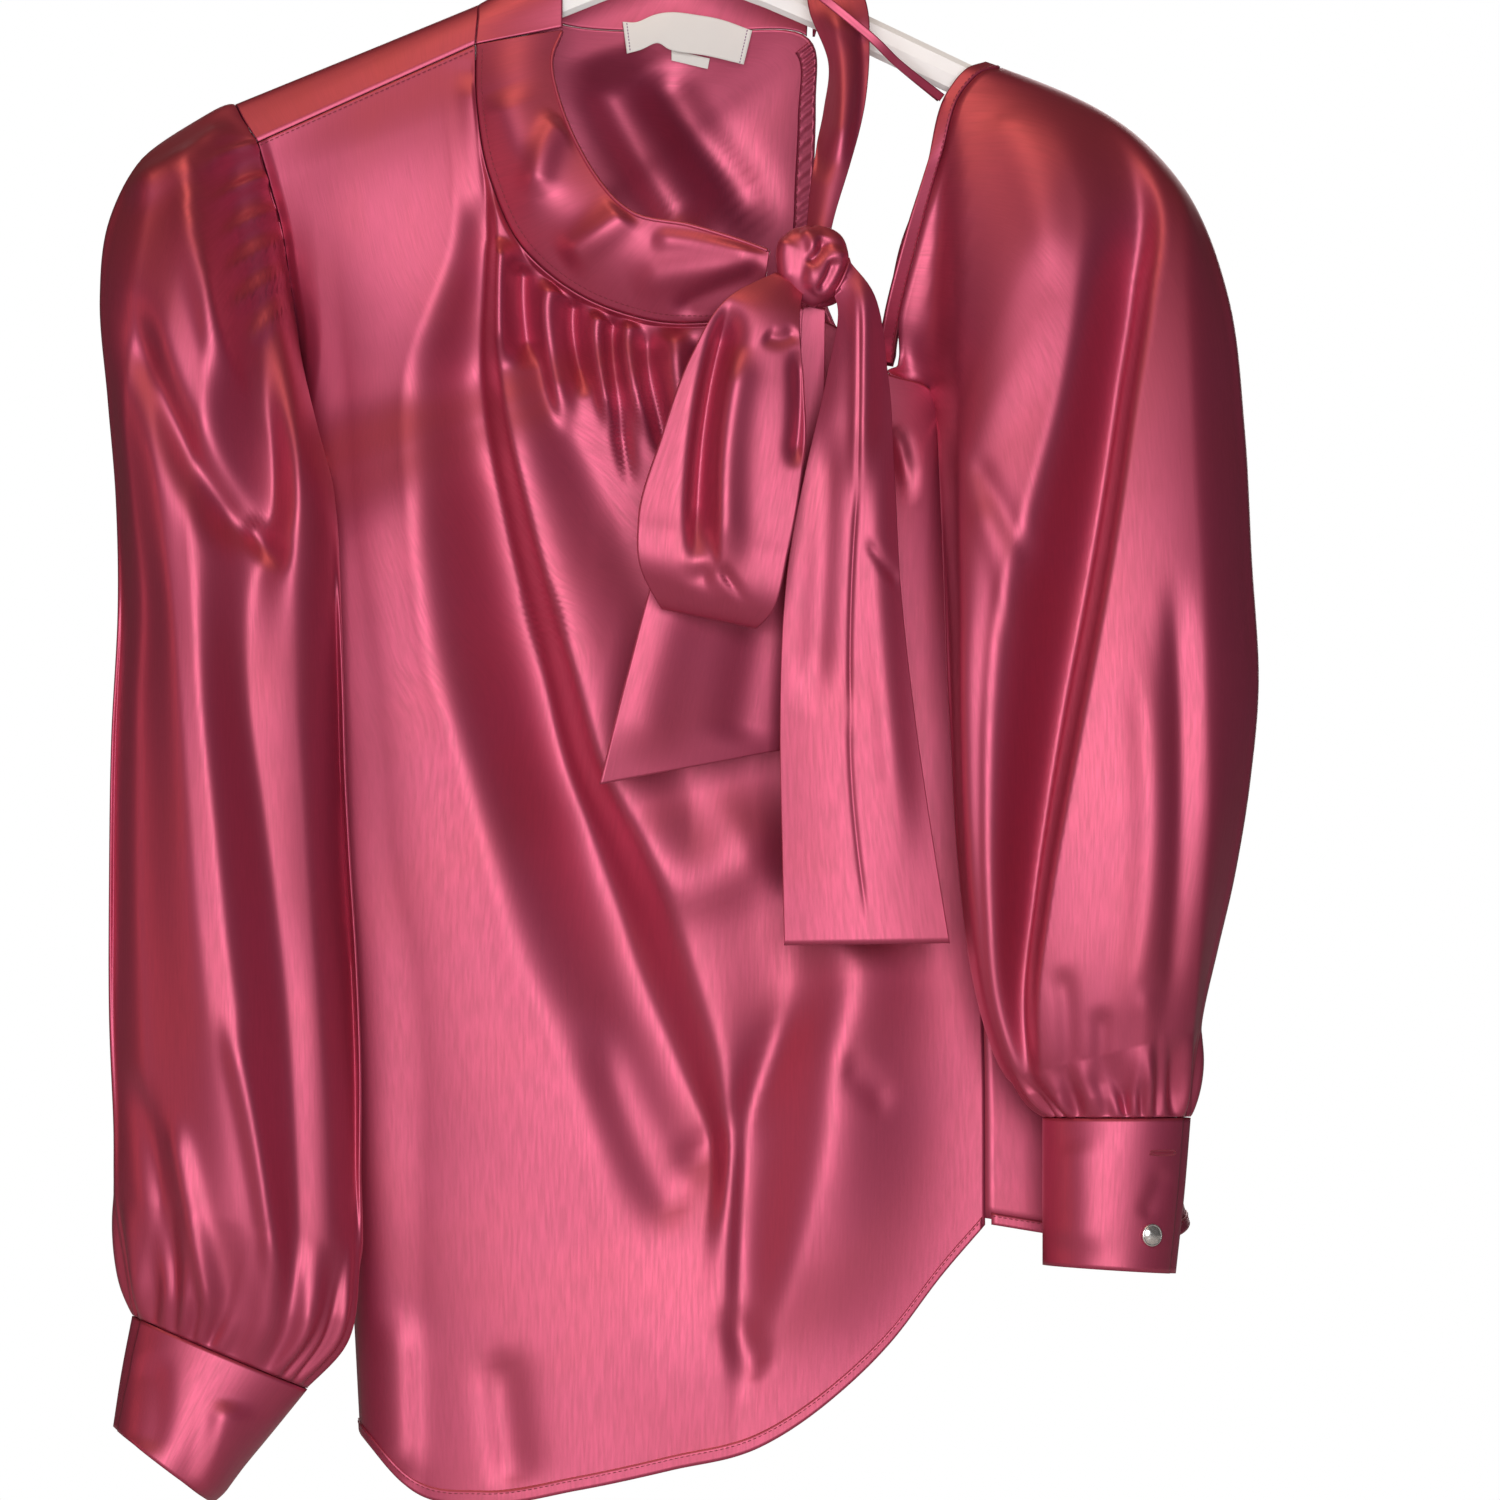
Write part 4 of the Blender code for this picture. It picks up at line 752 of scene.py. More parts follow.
# z, then pairs of x and height: the long ridges and hollows that run down the sleeves
SET_IN_DRAPE = (
    (-148, -249, 0, -240, 0, -229, 0, -219, 0, -209, 0, -196, 0, -183, 0),
    (-190, -263, -8, -247, 1, -229, 6, -220, 5, -209, -7, -196, -3, -183, -6),
    (-237, -270, -6, -254, 1, -235, 5, -221, 4, -200, -11, -185, -2, -174, -4),
    (-284, -266, -6, -258, 1, -244, 5, -223, 3, -194, -13, -178, 2, -165, 0),
    (-331, -263, -8, -254, 1, -241, 6, -230, 5, -190, -14, -176, 2, -161, 0),
    (-378, -262, -12, -249, -3, -235, 7, -227, 7, -199, -11, -179, -5, -159, -14),
    (-425, -264, -14, -251, -5, -231, 8, -224, 8, -199, -14, -179, -13, -157, -24),
    (-472, -266, -14, -251, -5, -227, 8, -219, 8, -193, -16, -176, -16, -155, -28),
    (-519, -266, -14, -251, -5, -223, 8, -214, 8, -187, -16, -173, -16, -152, -28),
    (-566, -266, -12, -249, -4, -217, 8, -208, 8, -182, -14, -169, -13, -150, -24),
    (-613, -264, -10, -247, -3, -210, 7, -200, 7, -179, -11, -166, -10, -149, -18),
    (-660, -263, -6, -244, -1, -202, 5, -194, 5, -177, -8, -164, -7, -149, -12),
    (-712, -258, 0, -242, 0, -200, 0, -192, 0, -176, 0, -164, 0, -150, 0),
)
OPEN_DRAPE = (
    (-133, 122, 0, 130, 0, 160, 0, 179, 0, 190, 0, 197, 0, 207, 0),
    (-157, 121, -6, 130, 2, 174, 3, 200, -2, 214, 1, 222, 1, 230, -4),
    (-190, 121, -8, 131, 3, 186, 4, 214, -6, 227, 3, 234, 3, 245, -6),
    (-237, 120, -10, 131, 4, 183, 4, 212, -17, 221, 4, 236, 4, 257, -6),
    (-284, 120, -12, 131, 5, 174, 3, 205, -23, 213, 5, 238, 5, 261, -5),
    (-331, 121, -12, 131, 6, 160, 3, 198, -28, 206, 6, 240, 6, 266, -5),
    (-378, 124, -12, 132, 6, 147, 3, 190, -33, 198, 6, 243, 6, 268, -5),
    (-425, 126, -12, 132, 6, 142, 3, 181, -34, 189, 6, 244, 6, 270, -5),
    (-472, 128, -12, 133, 6, 141, 3, 173, -32, 180, 6, 246, 6, 263, -5),
    (-519, 131, -12, 136, 5, 142, 3, 166, -25, 172, 5, 243, 5, 254, -5),
    (-566, 137, -6, 142, 3, 146, 2, 161, -12, 167, 4, 240, 4, 244, -4),
    (-608, 150, 0, 155, 0, 159, 0, 164, 0, 170, 0, 235, 0, 241, 0),
)
SET_IN_BACK_FOLDS = (
    (-249, -218, -240, -378, -226, -636, 14, 16, 8),
    (-219, -237, -212, -425, -204, -660, 12, 12, -9),
    (-193, -293, -186, -472, -179, -669, 14, 14, 7),
)
OPEN_FOLDS = (
    (134, -307, 150, -336, 165, -365, 5, 6, -1.6),
    (136, -331, 149, -359, 156, -397, 6, 8, 1.2),
    (212, -387, 219, -495, 206, -585, 9, 10, 3),
    (230, -359, 233, -472, 226, -585, 6, 8, -3),
    (176, -547, 180, -575, 179, -606, 5, 6, -1.8),
    (196, -566, 196, -589, 194, -611, 5, 5, -1.8),
    (216, -556, 216, -585, 213, -611, 5, 6, 1.6),
    (150, -148, 164, -176, 179, -237, 10, 14, 2),
)
OPEN_BACK_FOLDS = (
    (150, -213, 146, -378, 160, -566, 14, 16, 8),
    (193, -204, 193, -378, 188, -575, 14, 14, -9),
    (230, -218, 235, -378, 216, -566, 14, 16, 8),
)


def set_in_armhole(turn):
    """The set-in sleeve's seam, from the shoulder's ridge over the front to the underarm and back."""
    forward = np.clip(turn / np.pi, 0, 1)
    behind = np.clip(2 - turn / np.pi, 0, 1)
    strip = back(0 * turn, RIDGE_LEVEL * (1 - np.clip(forward / STRIP_SHARE, 0, 1)))
    chest = front(0 * turn, SIDE_SEAM_TOP * np.clip((forward - STRIP_SHARE) / (1 - STRIP_SHARE), 0, 1))
    rear = back(0 * turn, RIDGE_LEVEL + (SIDE_SEAM_TOP - RIDGE_LEVEL) * behind)
    before = np.where((forward < STRIP_SHARE)[..., None], strip, chest)
    return np.where((turn <= np.pi)[..., None], before, rear)


def open_armhole(turn):
    """The open sleeve's edge, from its top over the front to the underarm seam and up behind."""
    seam = ((0.84, 0.54), (0.92, 0.56), (1.0, 0.58))
    one = np.ones((1, 1))
    before = OPEN_FRONT_EDGE + tuple((w, *front(one, one * v)[0, 0]) for w, v in seam)
    behind = OPEN_BACK_EDGE + tuple((w, *back(one, one * v)[0, 0]) for w, v in seam)
    share = turn / np.pi
    return np.where((share <= 1)[..., None], through(before, share), through(behind, 2 - share))


def ring(turn, share, rings, flat_behind):
    """A point of a flattened ring, y = middle - depth sin(turn), and its outward direction. Behind, it is
    flatter towards its inner end, where it passes the body."""
    outer_x, outer_y, outer_z, inner_x, inner_y, inner_z, depth = columns(rings, share)
    reach_x, reach_z = (outer_x - inner_x) / 2, (outer_z - inner_z) / 2
    reach = np.hypot(reach_x, reach_z)
    c, s = np.cos(turn), np.sin(turn)
    outer_share = (1 + c) / 2
    depth = depth * np.where(s < 0, flat_behind + (1 - flat_behind) * outer_share, 1)
    y = outer_y * outer_share + inner_y * (1 - outer_share) - depth * s
    point = np.stack([inner_x + reach_x * (1 + c), y, inner_z + reach_z * (1 + c)], -1)
    out = np.stack([reach_x / reach * c * depth, -s * reach, reach_z / reach * c * depth], -1)
    return point, out / np.linalg.norm(out, axis=-1, keepdims=True)


def sleeve(turn, share, rings, armhole, folds, drape, back_folds):
    """A point of a sleeve: its armhole blends into rings, which are fuller in front, with a drape, folds and
    the gathers above the cuff. The gathers are two cosines round the wrist, 2.2 and 1.5 mm high, each times
    half a sine wave up the sleeve, and the fine ones reach up by a length that varies."""
    point, out = ring(turn, share, rings, 1 - (1 - FLAT_BEHIND) * smooth((share - 0.06) / 0.14))
    blend = smooth(share / ARMHOLE_BLEND)[..., None]
    point = armhole(turn) * (1 - blend) + point * blend
    x, z = point[..., 0], point[..., 2]
    s = np.sin(turn)
    before = np.clip(s, 0, 1)
    depth = columns(rings, share)[-1]
    fuller = depth * (before**SLEEVE_FULLNESS - before) * edge_fade(share, 0.2, 0.15)
    hung = draped(x, z, drape) * smooth(s / 0.35) * edge_fade(share, 0.08, 0.08)
    height = relief(x, z, folds) * smooth(s / 0.4) + relief(x, z, back_folds) * smooth(-s / 0.4)
    height = height * edge_fade(share, 0.015, 0.03)
    broad = np.cos(CUFF_GATHERS * turn + 0.9 * np.sin(3 * turn))
    fine = np.cos(FINE_GATHERS * turn + 1.7 * np.sin(5 * turn))
    reach = 0.10 + 0.035 * np.sin(7 * turn + 1)
    rise = np.clip((1 - share) / reach, 0, 1)
    height = height + 2.2 * broad * np.sin(np.pi * np.clip((1 - share) / GATHER_REACH, 0, 1))
    height = height + 1.5 * fine * np.sin(np.pi * rise**0.6)
    point = point + out * height[..., None]
    point[..., 1] -= fuller + hung
    return point


def set_in_sleeve(turn, share):
    """A point of the left sleeve."""
    return sleeve(turn, share, SET_IN_RINGS, set_in_armhole, SET_IN_FOLDS, SET_IN_DRAPE, SET_IN_BACK_FOLDS)


def open_sleeve(turn, share):
    """A point of the right sleeve."""
    return sleeve(turn, share, OPEN_RINGS, open_armhole, OPEN_FOLDS, OPEN_DRAPE, OPEN_BACK_FOLDS)


def near_underarm(turns, elsewhere, there, behind):
    """A seam's clear distance round an armhole, wider at the underarm, in front and behind, where the two
    cloths meet at a sharp angle."""
    there = np.where(turns > np.pi, behind, there)
    return elsewhere + (there - elsewhere) * smooth((1.1 - np.abs(turns - np.pi)) / 0.4)


def edge_share(turns, distance):
    """The share down the open sleeve at which its cloth is this far from its edge."""
    share, turn = grid(np.linspace(0, 0.16, 60), turns)
    points = open_sleeve(turn, share)
    far = np.linalg.norm(points - points[:1], axis=-1)
    return np.array([np.interp(distance, far[:, k], share[:, k]) for k in range(len(turns))])


turns = np.linspace(0, 2 * np.pi, 241)[:-1]
rows = np.concatenate([[0.004], np.linspace(0.012, 0.86, 112), np.linspace(0.865, 1, 40)])
share, turn = grid(rows, turns)
seam_gap = near_underarm(turns, elsewhere=1.0, there=2.5, behind=2.5)
points = draw_in(set_in_sleeve(turn, share), seam_gap, CUFF_GAP)
sleeve_left = cloth("sleeve_left", points, SATIN_FACE, closed=True)
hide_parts("sleeve_set_in")

start = edge_share(turns, BOUND_WIDTH) * smooth((np.abs(turns - np.pi) - UNDERARM_TURN) / BINDING_END)
rows = np.concatenate([[0.0], np.linspace(0.01, 0.86, 112), np.linspace(0.865, 1, 40)])
down, turn = grid(rows, turns)
share = start + (1 - start) * down
seam_gap = near_underarm(turns, elsewhere=SEAM_GAP, there=3.4, behind=5.0)
points = draw_in(open_sleeve(turn, share), seam_gap, CUFF_GAP)
sleeve_right = cloth("sleeve_right", points, SATIN_FACE, closed=True)
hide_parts("sleeve_open")

along = np.linspace(-1, 1, 240) * (np.pi - UNDERARM_TURN - BINDING_END)
bound_turns = np.where(along < 0, along + 2 * np.pi, along)
share, turn = grid(np.linspace(0, 1, 8), bound_turns)
edge = open_sleeve(turn, 0 * turn)
inner = open_sleeve(turn, edge_share(bound_turns, BOUND_WIDTH) + 0 * turn)
points = edge + (inner - edge) * (share * (1 - BINDING_GAP / BOUND_WIDTH))[..., None]
binding = cloth("armhole_binding", points, SATIN_FACE, wall=BINDING_WALL)
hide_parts("sleeve_binding")
binding_stitches = stitches("binding_stitches", lifted(points, 1.05)[6], outwards(points)[6])

# Cuffs. Two layers of satin with a stiffener, 73 mm high, wrapped past their own end and buttoned there.
# Each has a metal-faced shank button, and the open cuff shows the buttonhole above it.
CUFF_START = 0.45
CUFF_STEP = 2.6
CUFF_OVERLAP = 0.4
CUFF_WALL = 1.3
BUTTON_RADIUS = 5.3
DOME_SIZE = 0.79  # share of the button's radius inside which it is faceted
# turn round the cuff, share along it, height of the button's foot over the cuff's middle
RIGHT_BUTTON = (0.98, 0.76, 1.0)
LEFT_BUTTON = (5.6, 0.76, 1.6)
HOLE_TURNS = (0.61, 1.10)
HOLE_SHARES = (0.215, 0.245)
# share along the cuff, outer x, outer y, outer z, inner x, inner y, inner z, half depth
LEFT_CUFF_RINGS = (
    (0.0, -255, -54, -712, -174, -54, -746, 25),
    (0.5, -260, -54, -738, -196, -54, -773, 30),
    (1.0, -264, -54, -764, -218, -54, -799, 33),
)
RIGHT_CUFF_RINGS = (
    (0.0, 238, -71, -619, 170, -71, -619, 24),
    (0.5, 235, -71, -655, 170, -71, -654, 25),
    (1.0, 231, -71, -692, 170, -71, -688, 26),
)
LEFT_CUFF_FOLDS = (
    (-211, -749, -216, -773, -227, -800, 6, 12, 4),
    (-249, -728, -244, -754, -249, -777, 10, 8, -2),
)
RIGHT_CUFF_FOLDS = (
    (226, -643, 221, -655, 216, -667, 4, 5, -1),
    (183, -627, 186, -655, 183, -683, 12, 14, 2),
)


def cuff(turn, share, rings, folds):
    """A point of a cuff, whose under end is drawn in beneath its upper end."""
    point, out = ring(turn, share, rings, FLAT_BEHIND)
    under = smooth((turn - CUFF_START - 2 * np.pi + 0.5) / 0.4)
    height = relief(point[..., 0], point[..., 2], folds) * smooth(np.sin(turn) / 0.3)
    return point - out * (CUFF_STEP * under - height)[..., None]


def make_cuff(name, node, rings, folds):
    """Wraps one cuff round its wrist, past its own end."""
    turns = np.linspace(CUFF_START, CUFF_START + 2 * np.pi + CUFF_OVERLAP, 200)
    share, turn = grid(np.linspace(0, 1, 32), turns)
    piece = cloth(name, draw_in(cuff(turn, share, rings, folds), 0.4), SATIN_FACE, wall=CUFF_WALL)
    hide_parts(node)


make_cuff("left_cuff", "cuff_left", LEFT_CUFF_RINGS, LEFT_CUFF_FOLDS)
make_cuff("right_cuff", "cuff_right", RIGHT_CUFF_RINGS, RIGHT_CUFF_FOLDS)

# the upper buttonhole: a slit worked round with close stitches, whose outline is an ellipse with the sides
# made straight by the power 0.4
first, last = HOLE_TURNS
outline = np.linspace(0, 2 * np.pi, 90)
swing = np.sign(np.cos(outline)) * np.abs(np.cos(outline)) ** 0.4
turn = ((first + last) / 2 + (last - first) / 2 * swing)[:, None]
share = (sum(HOLE_SHARES) / 2 + np.sin(outline) * (HOLE_SHARES[1] - HOLE_SHARES[0]) / 2)[:, None]
_, out = ring(turn, share, RIGHT_CUFF_RINGS, FLAT_BEHIND)
edge = cuff(turn, share, RIGHT_CUFF_RINGS, RIGHT_CUFF_FOLDS) + out * 0.75
stitches("buttonhole", edge[:, 0], out[:, 0], pitch=0.62, length=0.6, width=1.0)
turn, share = np.meshgrid(np.linspace(first + 0.03, last - 0.03, 24), (0.226, 0.234))
slit_points = cuff(turn, share, RIGHT_CUFF_RINGS, RIGHT_CUFF_FOLDS)
slit_points += ring(turn, share, RIGHT_CUFF_RINGS, FLAT_BEHIND)[1] * 0.72
slit = cloth("buttonhole_slit", slit_points, THREAD, wall=0.2)


def button_look():
    """Plated metal rim round a pale faceted dome, with fine marks from handling."""
    look = Look("button_metal", Metallic=0.9, Roughness=0.22, Base_Color=(0.78, 0.76, 0.74, 1))
    place = look.node("ShaderNodeTexCoord", {}, {}, output="Object")
    marks = look.node("ShaderNodeTexNoise", {}, {"Vector": place, "Scale": 900.0, "Detail": 4.0})
    look.feed(Base_Color=look.mixed(marks, (0.62, 0.60, 0.58, 1), (0.90, 0.89, 0.87, 1)),
              Roughness=0.16 + marks * 0.2)
    return look.material


BUTTON_METAL = button_look()


def button(name, node, rings, place_on_cuff):
    """A shank button: a plated rim turned from a profile of radius share and rise, with a dome of eight
    facets set in it."""
    turn, share, height = (np.array(value) for value in place_on_cuff)
    centre, out = ring(turn, share, rings, FLAT_BEHIND)
    side = np.cross(out, (0, 0, 1.0))
    side /= np.linalg.norm(side)
    up = np.cross(side, out)
    angle = np.linspace(0, 2 * np.pi, 49)[:-1]
    spoke = np.cos(angle)[:, None] * side + np.sin(angle)[:, None] * up
    profile = ((0.55, -0.1), (0.72, 0.0), (0.96, 0.5), (1.0, 0.9), (0.99, 1.4), (0.93, 1.75), (0.86, 1.7),
               (0.82, 1.55), (0.78, 1.8), (0.66, 2.3), (0.48, 2.75), (0.25, 3.02), (0.08, 3.1))
    size, rise = np.array(profile).T[:, :, None, None]
    facets = np.where(size < DOME_SIZE, 1 + 0.035 * np.cos(8 * angle)[:, None], 1)
    rows = centre + out * (height + rise) + spoke * (BUTTON_RADIUS * size * facets)
    piece = tube(name, rows, BUTTON_METAL)
    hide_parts(node)


button("right_cuff_button", "cuff_button_right", RIGHT_CUFF_RINGS, RIGHT_BUTTON)
button("left_cuff_button", "cuff_button_left", LEFT_CUFF_RINGS, LEFT_BUTTON)

# Tie. The collar's two ends, each a doubled strap 78 mm wide, tied in a half bow: one loop hangs to the
# left and one tail lies to each side. The knot is the strap wound once round itself.
KNOT_MIDDLE = (62, -78, -223)
KNOT_HALF = (17, 14, 19)
# share, left x, left y, left z, right x, right y, right z, crown towards the viewer
TIE_BAND_ROWS = (
    (0.00, 63, 22, -112, 63, 22, -72, 0),
    (0.09, 66, 14, -100, 68, 15, -70, 0),
    (0.16, 65, 2, -89, 72, 3, -69, 0),
    (0.22, 61, -8, -90, 78, -7, -79, 1),
    (0.34, 61, -20, -102, 87, -20, -96, 2),
    (0.48, 70, -32, -126, 89, -30, -118, 3),
    (0.62, 68, -40, -148, 87, -42, -145, 4),
    (0.78, 63, -50, -173, 80, -54, -173, 4),
    (0.92, 60, -60, -202, 72, -64, -200, 3),
    (1.00, 59, -68, -216, 69, -70, -214, 2),
)
BOW_LOOP_ROWS = (
    (0.00, 48, -76, -229, 59, -74, -233, 0),
    (0.08, 31, -76, -239, 57, -76, -251, 1),
    (0.20, 11, -78, -258, 57, -78, -279, 2),
    (0.32, -3, -80, -298, 55, -80, -307, 2),
    (0.42, -15, -82, -340, 51, -82, -352, 2),
    (0.47, -16, -86, -366, 42, -86, -382, 1),
    (0.50, -8, -96, -382, 36, -96, -391, 0),
    (0.53, -16, -107, -368, 43, -106, -384, 1),
    (0.60, -19, -111, -341, 51, -111, -355, 2),
    (0.70, -8, -110, -302, 58, -109, -313, 3),
    (0.82, 6, -107, -264, 58, -106, -280, 3),
    (0.93, 24, -100, -237, 56, -98, -246, 3),
    (1.00, 45, -88, -226, 58, -86, -232, 2),
)
FRONT_TAIL_ROWS = (
    (0.00, 69, -84, -230, 78, -82, -219, 1),
    (0.06, 74, -86, -242, 90, -84, -235, 3),
    (0.16, 69, -86, -274, 97, -82, -274, 6),
    (0.30, 59, -86, -317, 100, -80, -320, 6),
    (0.48, 50, -86, -368, 103, -80, -373, 5),
    (0.68, 47, -84, -434, 110, -80, -435, 4),
    (0.85, 48, -82, -495, 118, -80, -489, 4),
    (1.00, 49, -82, -539, 126, -80, -538, 4),
)
BACK_TAIL_ROWS = (
    (0.00, 50, -72, -237, 68, -70, -242, 0),
    (0.20, 24, -76, -284, 67, -68, -293, 1),
    (0.50, -9, -86, -359, 56, -66, -373, 2),
    (0.75, -24, -90, -412, 50, -64, -420, 2),
    (1.00, -37, -91, -464, 47, -63, -448, 2),
)
TIE_BAND_FOLDS = (
    (70, -96, 76, -133, 74, -176, 5, 6, 4),
    (83, -105, 85, -138, 78, -180, 3, 4, -3),
    (63, -124, 65, -152, 65, -185, 3, 5, -4),
)
LOOP_FOLDS = (
    (26, -237, 12, -294, 8, -366, 4, 8, -12),
    (29, -258, 20, -307, 22, -373, 3, 9, 6),
    (55, -252, 47, -257, 39, -254, 3, 4, -2),
    (55, -260, 56, -289, 53, -319, 4, 4, -5),
    (9, -359, 15, -378, 29, -385, 8, 5, -6),
    (18, -362, 27, -375, 36, -389, 2, 3, -4),
)
LOOP_REAR_FOLDS = (
    (18, -246, 5, -293, -6, -340, 8, 9, 5),
    (12, -260, -4, -317, -13, -350, 3, 3, -2),
)
FRONT_TAIL_FOLDS = (
    (84, -230, 84, -279, 83, -331, 1.4, 1.4, -0.9),
    (84, -317, 80, -378, 80, -439, 1.4, 1.4, -0.9),
    (80, -425, 81, -472, 89, -536, 1.4, 1.4, -0.7),
    (84, -218, 86, -256, 84, -340, 5, 6, 4),
    (86, -350, 95, -362, 102, -371, 2, 3, -1.5),
    (70, -293, 67, -359, 62, -434, 9, 8, -3),
    (96, -293, 94, -378, 106, -509, 8, 8, 3),
)
BACK_TAIL_FOLDS = (
    (5, -359, -9, -406, -19, -458, 14, 14, 3),
    (38, -378, 31, -415, 26, -448, 12, 12, -3),
)
KNOT_FOLDS = (
    (56, -205, 63, -216, 59, -235, 3, 5, 3),
    (67, -209, 65, -216, 59, -222, 2, 3, -4),
    (76, -213, 70, -225, 62, -237, 5, 4, 3),
    (72, -219, 69, -227, 64, -235, 2, 2, -4),
    (52, -209, 48, -219, 52, -232, 4, 4, 2),
)


def flat_band(name, node, rows, folds, counts, rear_folds=()):
    """A strap: straight lines from left points to right points, crowned by a half sine and folded. A strap
    with rear folds is a loop: its first half hangs behind, and its folds come after the turn halfway."""
    along, across = grid(np.linspace(0, 1, counts[0]), np.linspace(0, 1, counts[1]))
    values = through(rows, along)
    points = values[..., :3] + (values[..., 3:6] - values[..., :3]) * across[..., None]
    points[..., 1] -= values[..., 6] * np.sin(np.pi * across)
    x, z = points[..., 0], points[..., 2]
    front_half = smooth((along - 0.52) / 0.06) if rear_folds else 1
    height = relief(x, z, folds) * front_half
    if rear_folds:
        height = height + relief(x, z, rear_folds) * smooth((0.48 - along) / 0.06)
    points[..., 1] -= height * smooth(along / 0.08)
    piece = cloth(name, out_of_knot(points), SATIN_FACE, wall=DOUBLED_WALL)
    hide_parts(node)


def out_of_knot(points, clear=1.2):
    """Points inside the knot's ellipsoid go to its surface, so that no band passes through it."""
    middle, half = np.array(KNOT_MIDDLE, float), np.array(KNOT_HALF, float) + clear
    away = (points - middle) / half
    far = np.linalg.norm(away, axis=-1, keepdims=True)
    return np.where(far < 1, middle + away / np.maximum(far, 0.05) * half, points)


flat_band("tie_strap", "tie_band", TIE_BAND_ROWS, TIE_BAND_FOLDS, (160, 40))
flat_band("bow_loop_strap", "bow_loop", BOW_LOOP_ROWS, LOOP_FOLDS, (220, 70),
          rear_folds=LOOP_REAR_FOLDS)
flat_band("front_tail_strap", "front_tail", FRONT_TAIL_ROWS, FRONT_TAIL_FOLDS, (110, 150))
flat_band("back_tail_strap", "back_tail", BACK_TAIL_ROWS, BACK_TAIL_FOLDS, (160, 70))

# the knot: an ellipsoid made boxy by the cube norm, swollen in three lobes and creased by its folds
turn, tilt = grid(np.linspace(0, 2 * np.pi, 97)[:-1], np.linspace(-1.42, 1.42, 60))
direction = np.stack([np.cos(tilt) * np.cos(turn), np.cos(tilt) * np.sin(turn), np.sin(tilt)], -1)
swell = 1 + 0.07 * np.cos(3 * turn + 1.5 * tilt)
boxy = direction / np.cbrt((np.abs(direction) ** 3).sum(-1, keepdims=True))
points = np.array(KNOT_MIDDLE) + boxy * np.array(KNOT_HALF) * 0.93 * swell[..., None]
facing = smooth(-np.sin(turn) / 0.4)
points += direction * (relief(points[..., 0], points[..., 2], KNOT_FOLDS) * facing)[..., None]
knot = tube("tie_knot", np.moveaxis(points, 1, 0), SATIN_FACE)
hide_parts("knot")

# Hanging ribbon. A narrow satin ribbon, sewn by both ends into the open sleeve's bound edge. It is hung
# round the hook's stem, so that the sleeve stays on the hanger.
RIBBON_WIDTH = 4
STEM_CLEAR = 5.2  # from the stem's middle to the ribbon's
# share, x, y, z
RIBBON_FRONT = ((0.0, 123, -16.5, -142), (0.25, 103, -32, -127), (0.5, 88, -40, -113), (0.7, 62, -38, -92),
                (0.88, 30, -14, -68), (1.0, 9, -5.2, -54))
RIBBON_BACK = ((0.0, 9, 5.2, -54), (0.2, 30, -8, -68), (0.42, 62, -35.6, -92), (0.62, 88, -37.6, -113),
               (0.82, 103, -29.6, -127), (1.0, 122, -14, -142))
share = np.linspace(0, 1, 90)
bend = np.linspace(-0.45, 0.45, 41)[1:-1] * 2 * np.pi
stem = np.stack([-np.cos(bend), np.sin(bend), 0 * bend], -1) * STEM_CLEAR + (0, 0, RIBBON_FRONT[-1][3])
run = np.concatenate([through(RIBBON_FRONT, share), stem, through(RIBBON_BACK, share)])
along = np.gradient(run, axis=0)
across = np.stack([-along[:, 2], 0 * along[:, 0], along[:, 0]], -1)
across[np.abs(along[:, 1]) > 0.8 * np.linalg.norm(along, axis=1)] = (0, 0, 1)
across *= np.where(across[:, 2:] < 0, -1, 1)
across /= np.linalg.norm(across, axis=1, keepdims=True)
points = run[:, None] + np.linspace(-0.5, 0.5, 7)[None, :, None] * across[:, None] * RIBBON_WIDTH
ribbon = cloth("ribbon_loop", points, SATIN_FACE, wall=0.7)
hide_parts("hanging_ribbon")

# Neck label. A woven tape sewn to the back of the neck at its two ends, sagging a little between them,
# with a smaller tab below. Both are left bare.
# share of the width, x, z
LABEL_TOP = ((0.0, -27, -105), (0.12, -20, -105), (0.22, -13, -102), (0.6, 10, -102), (0.78, 20, -104),
             (1.0, 34, -109))
LABEL_BOTTOM = ((0.0, -25, -120), (0.14, -18, -118), (0.26, -11, -115), (0.4, -5, -118), (0.7, 13, -121),
                (1.0, 30, -125))
TAB_TOP = ((0.0, -4, -118), (1.0, 14, -122))
TAB_BOTTOM = ((0.0, -4, -123), (1.0, 13, -127))


def tape_look():
    """Woven tape: a fine square weave, off-white, greyer between its threads."""
    look = Look("label_tape", Roughness=0.75, Sheen_Weight=0.3)
    uv = look.node("ShaderNodeUVMap", {"uv_map": "cloth"})
    warp = look.node("ShaderNodeTexWave", {"bands_direction": "X"}, {"Vector": uv, "Scale": 900.0})
    weft = look.node("ShaderNodeTexWave", {"bands_direction": "Y"}, {"Vector": uv, "Scale": 900.0})
    weave = warp * weft
    wear = look.node("ShaderNodeTexNoise", {}, {"Vector": uv, "Scale": 60.0, "Detail": 3.0})
    colour = look.mixed(weave * 0.25 + wear * 0.15, (0.86, 0.83, 0.78, 1), (0.70, 0.66, 0.62, 1))
    bump = look.node("ShaderNodeBump", {}, {"Strength": 0.3, "Distance": 0.0002, "Height": weave})
    look.feed(Base_Color=colour, Normal=bump)
    return look.material


LABEL_TAPE = tape_look()


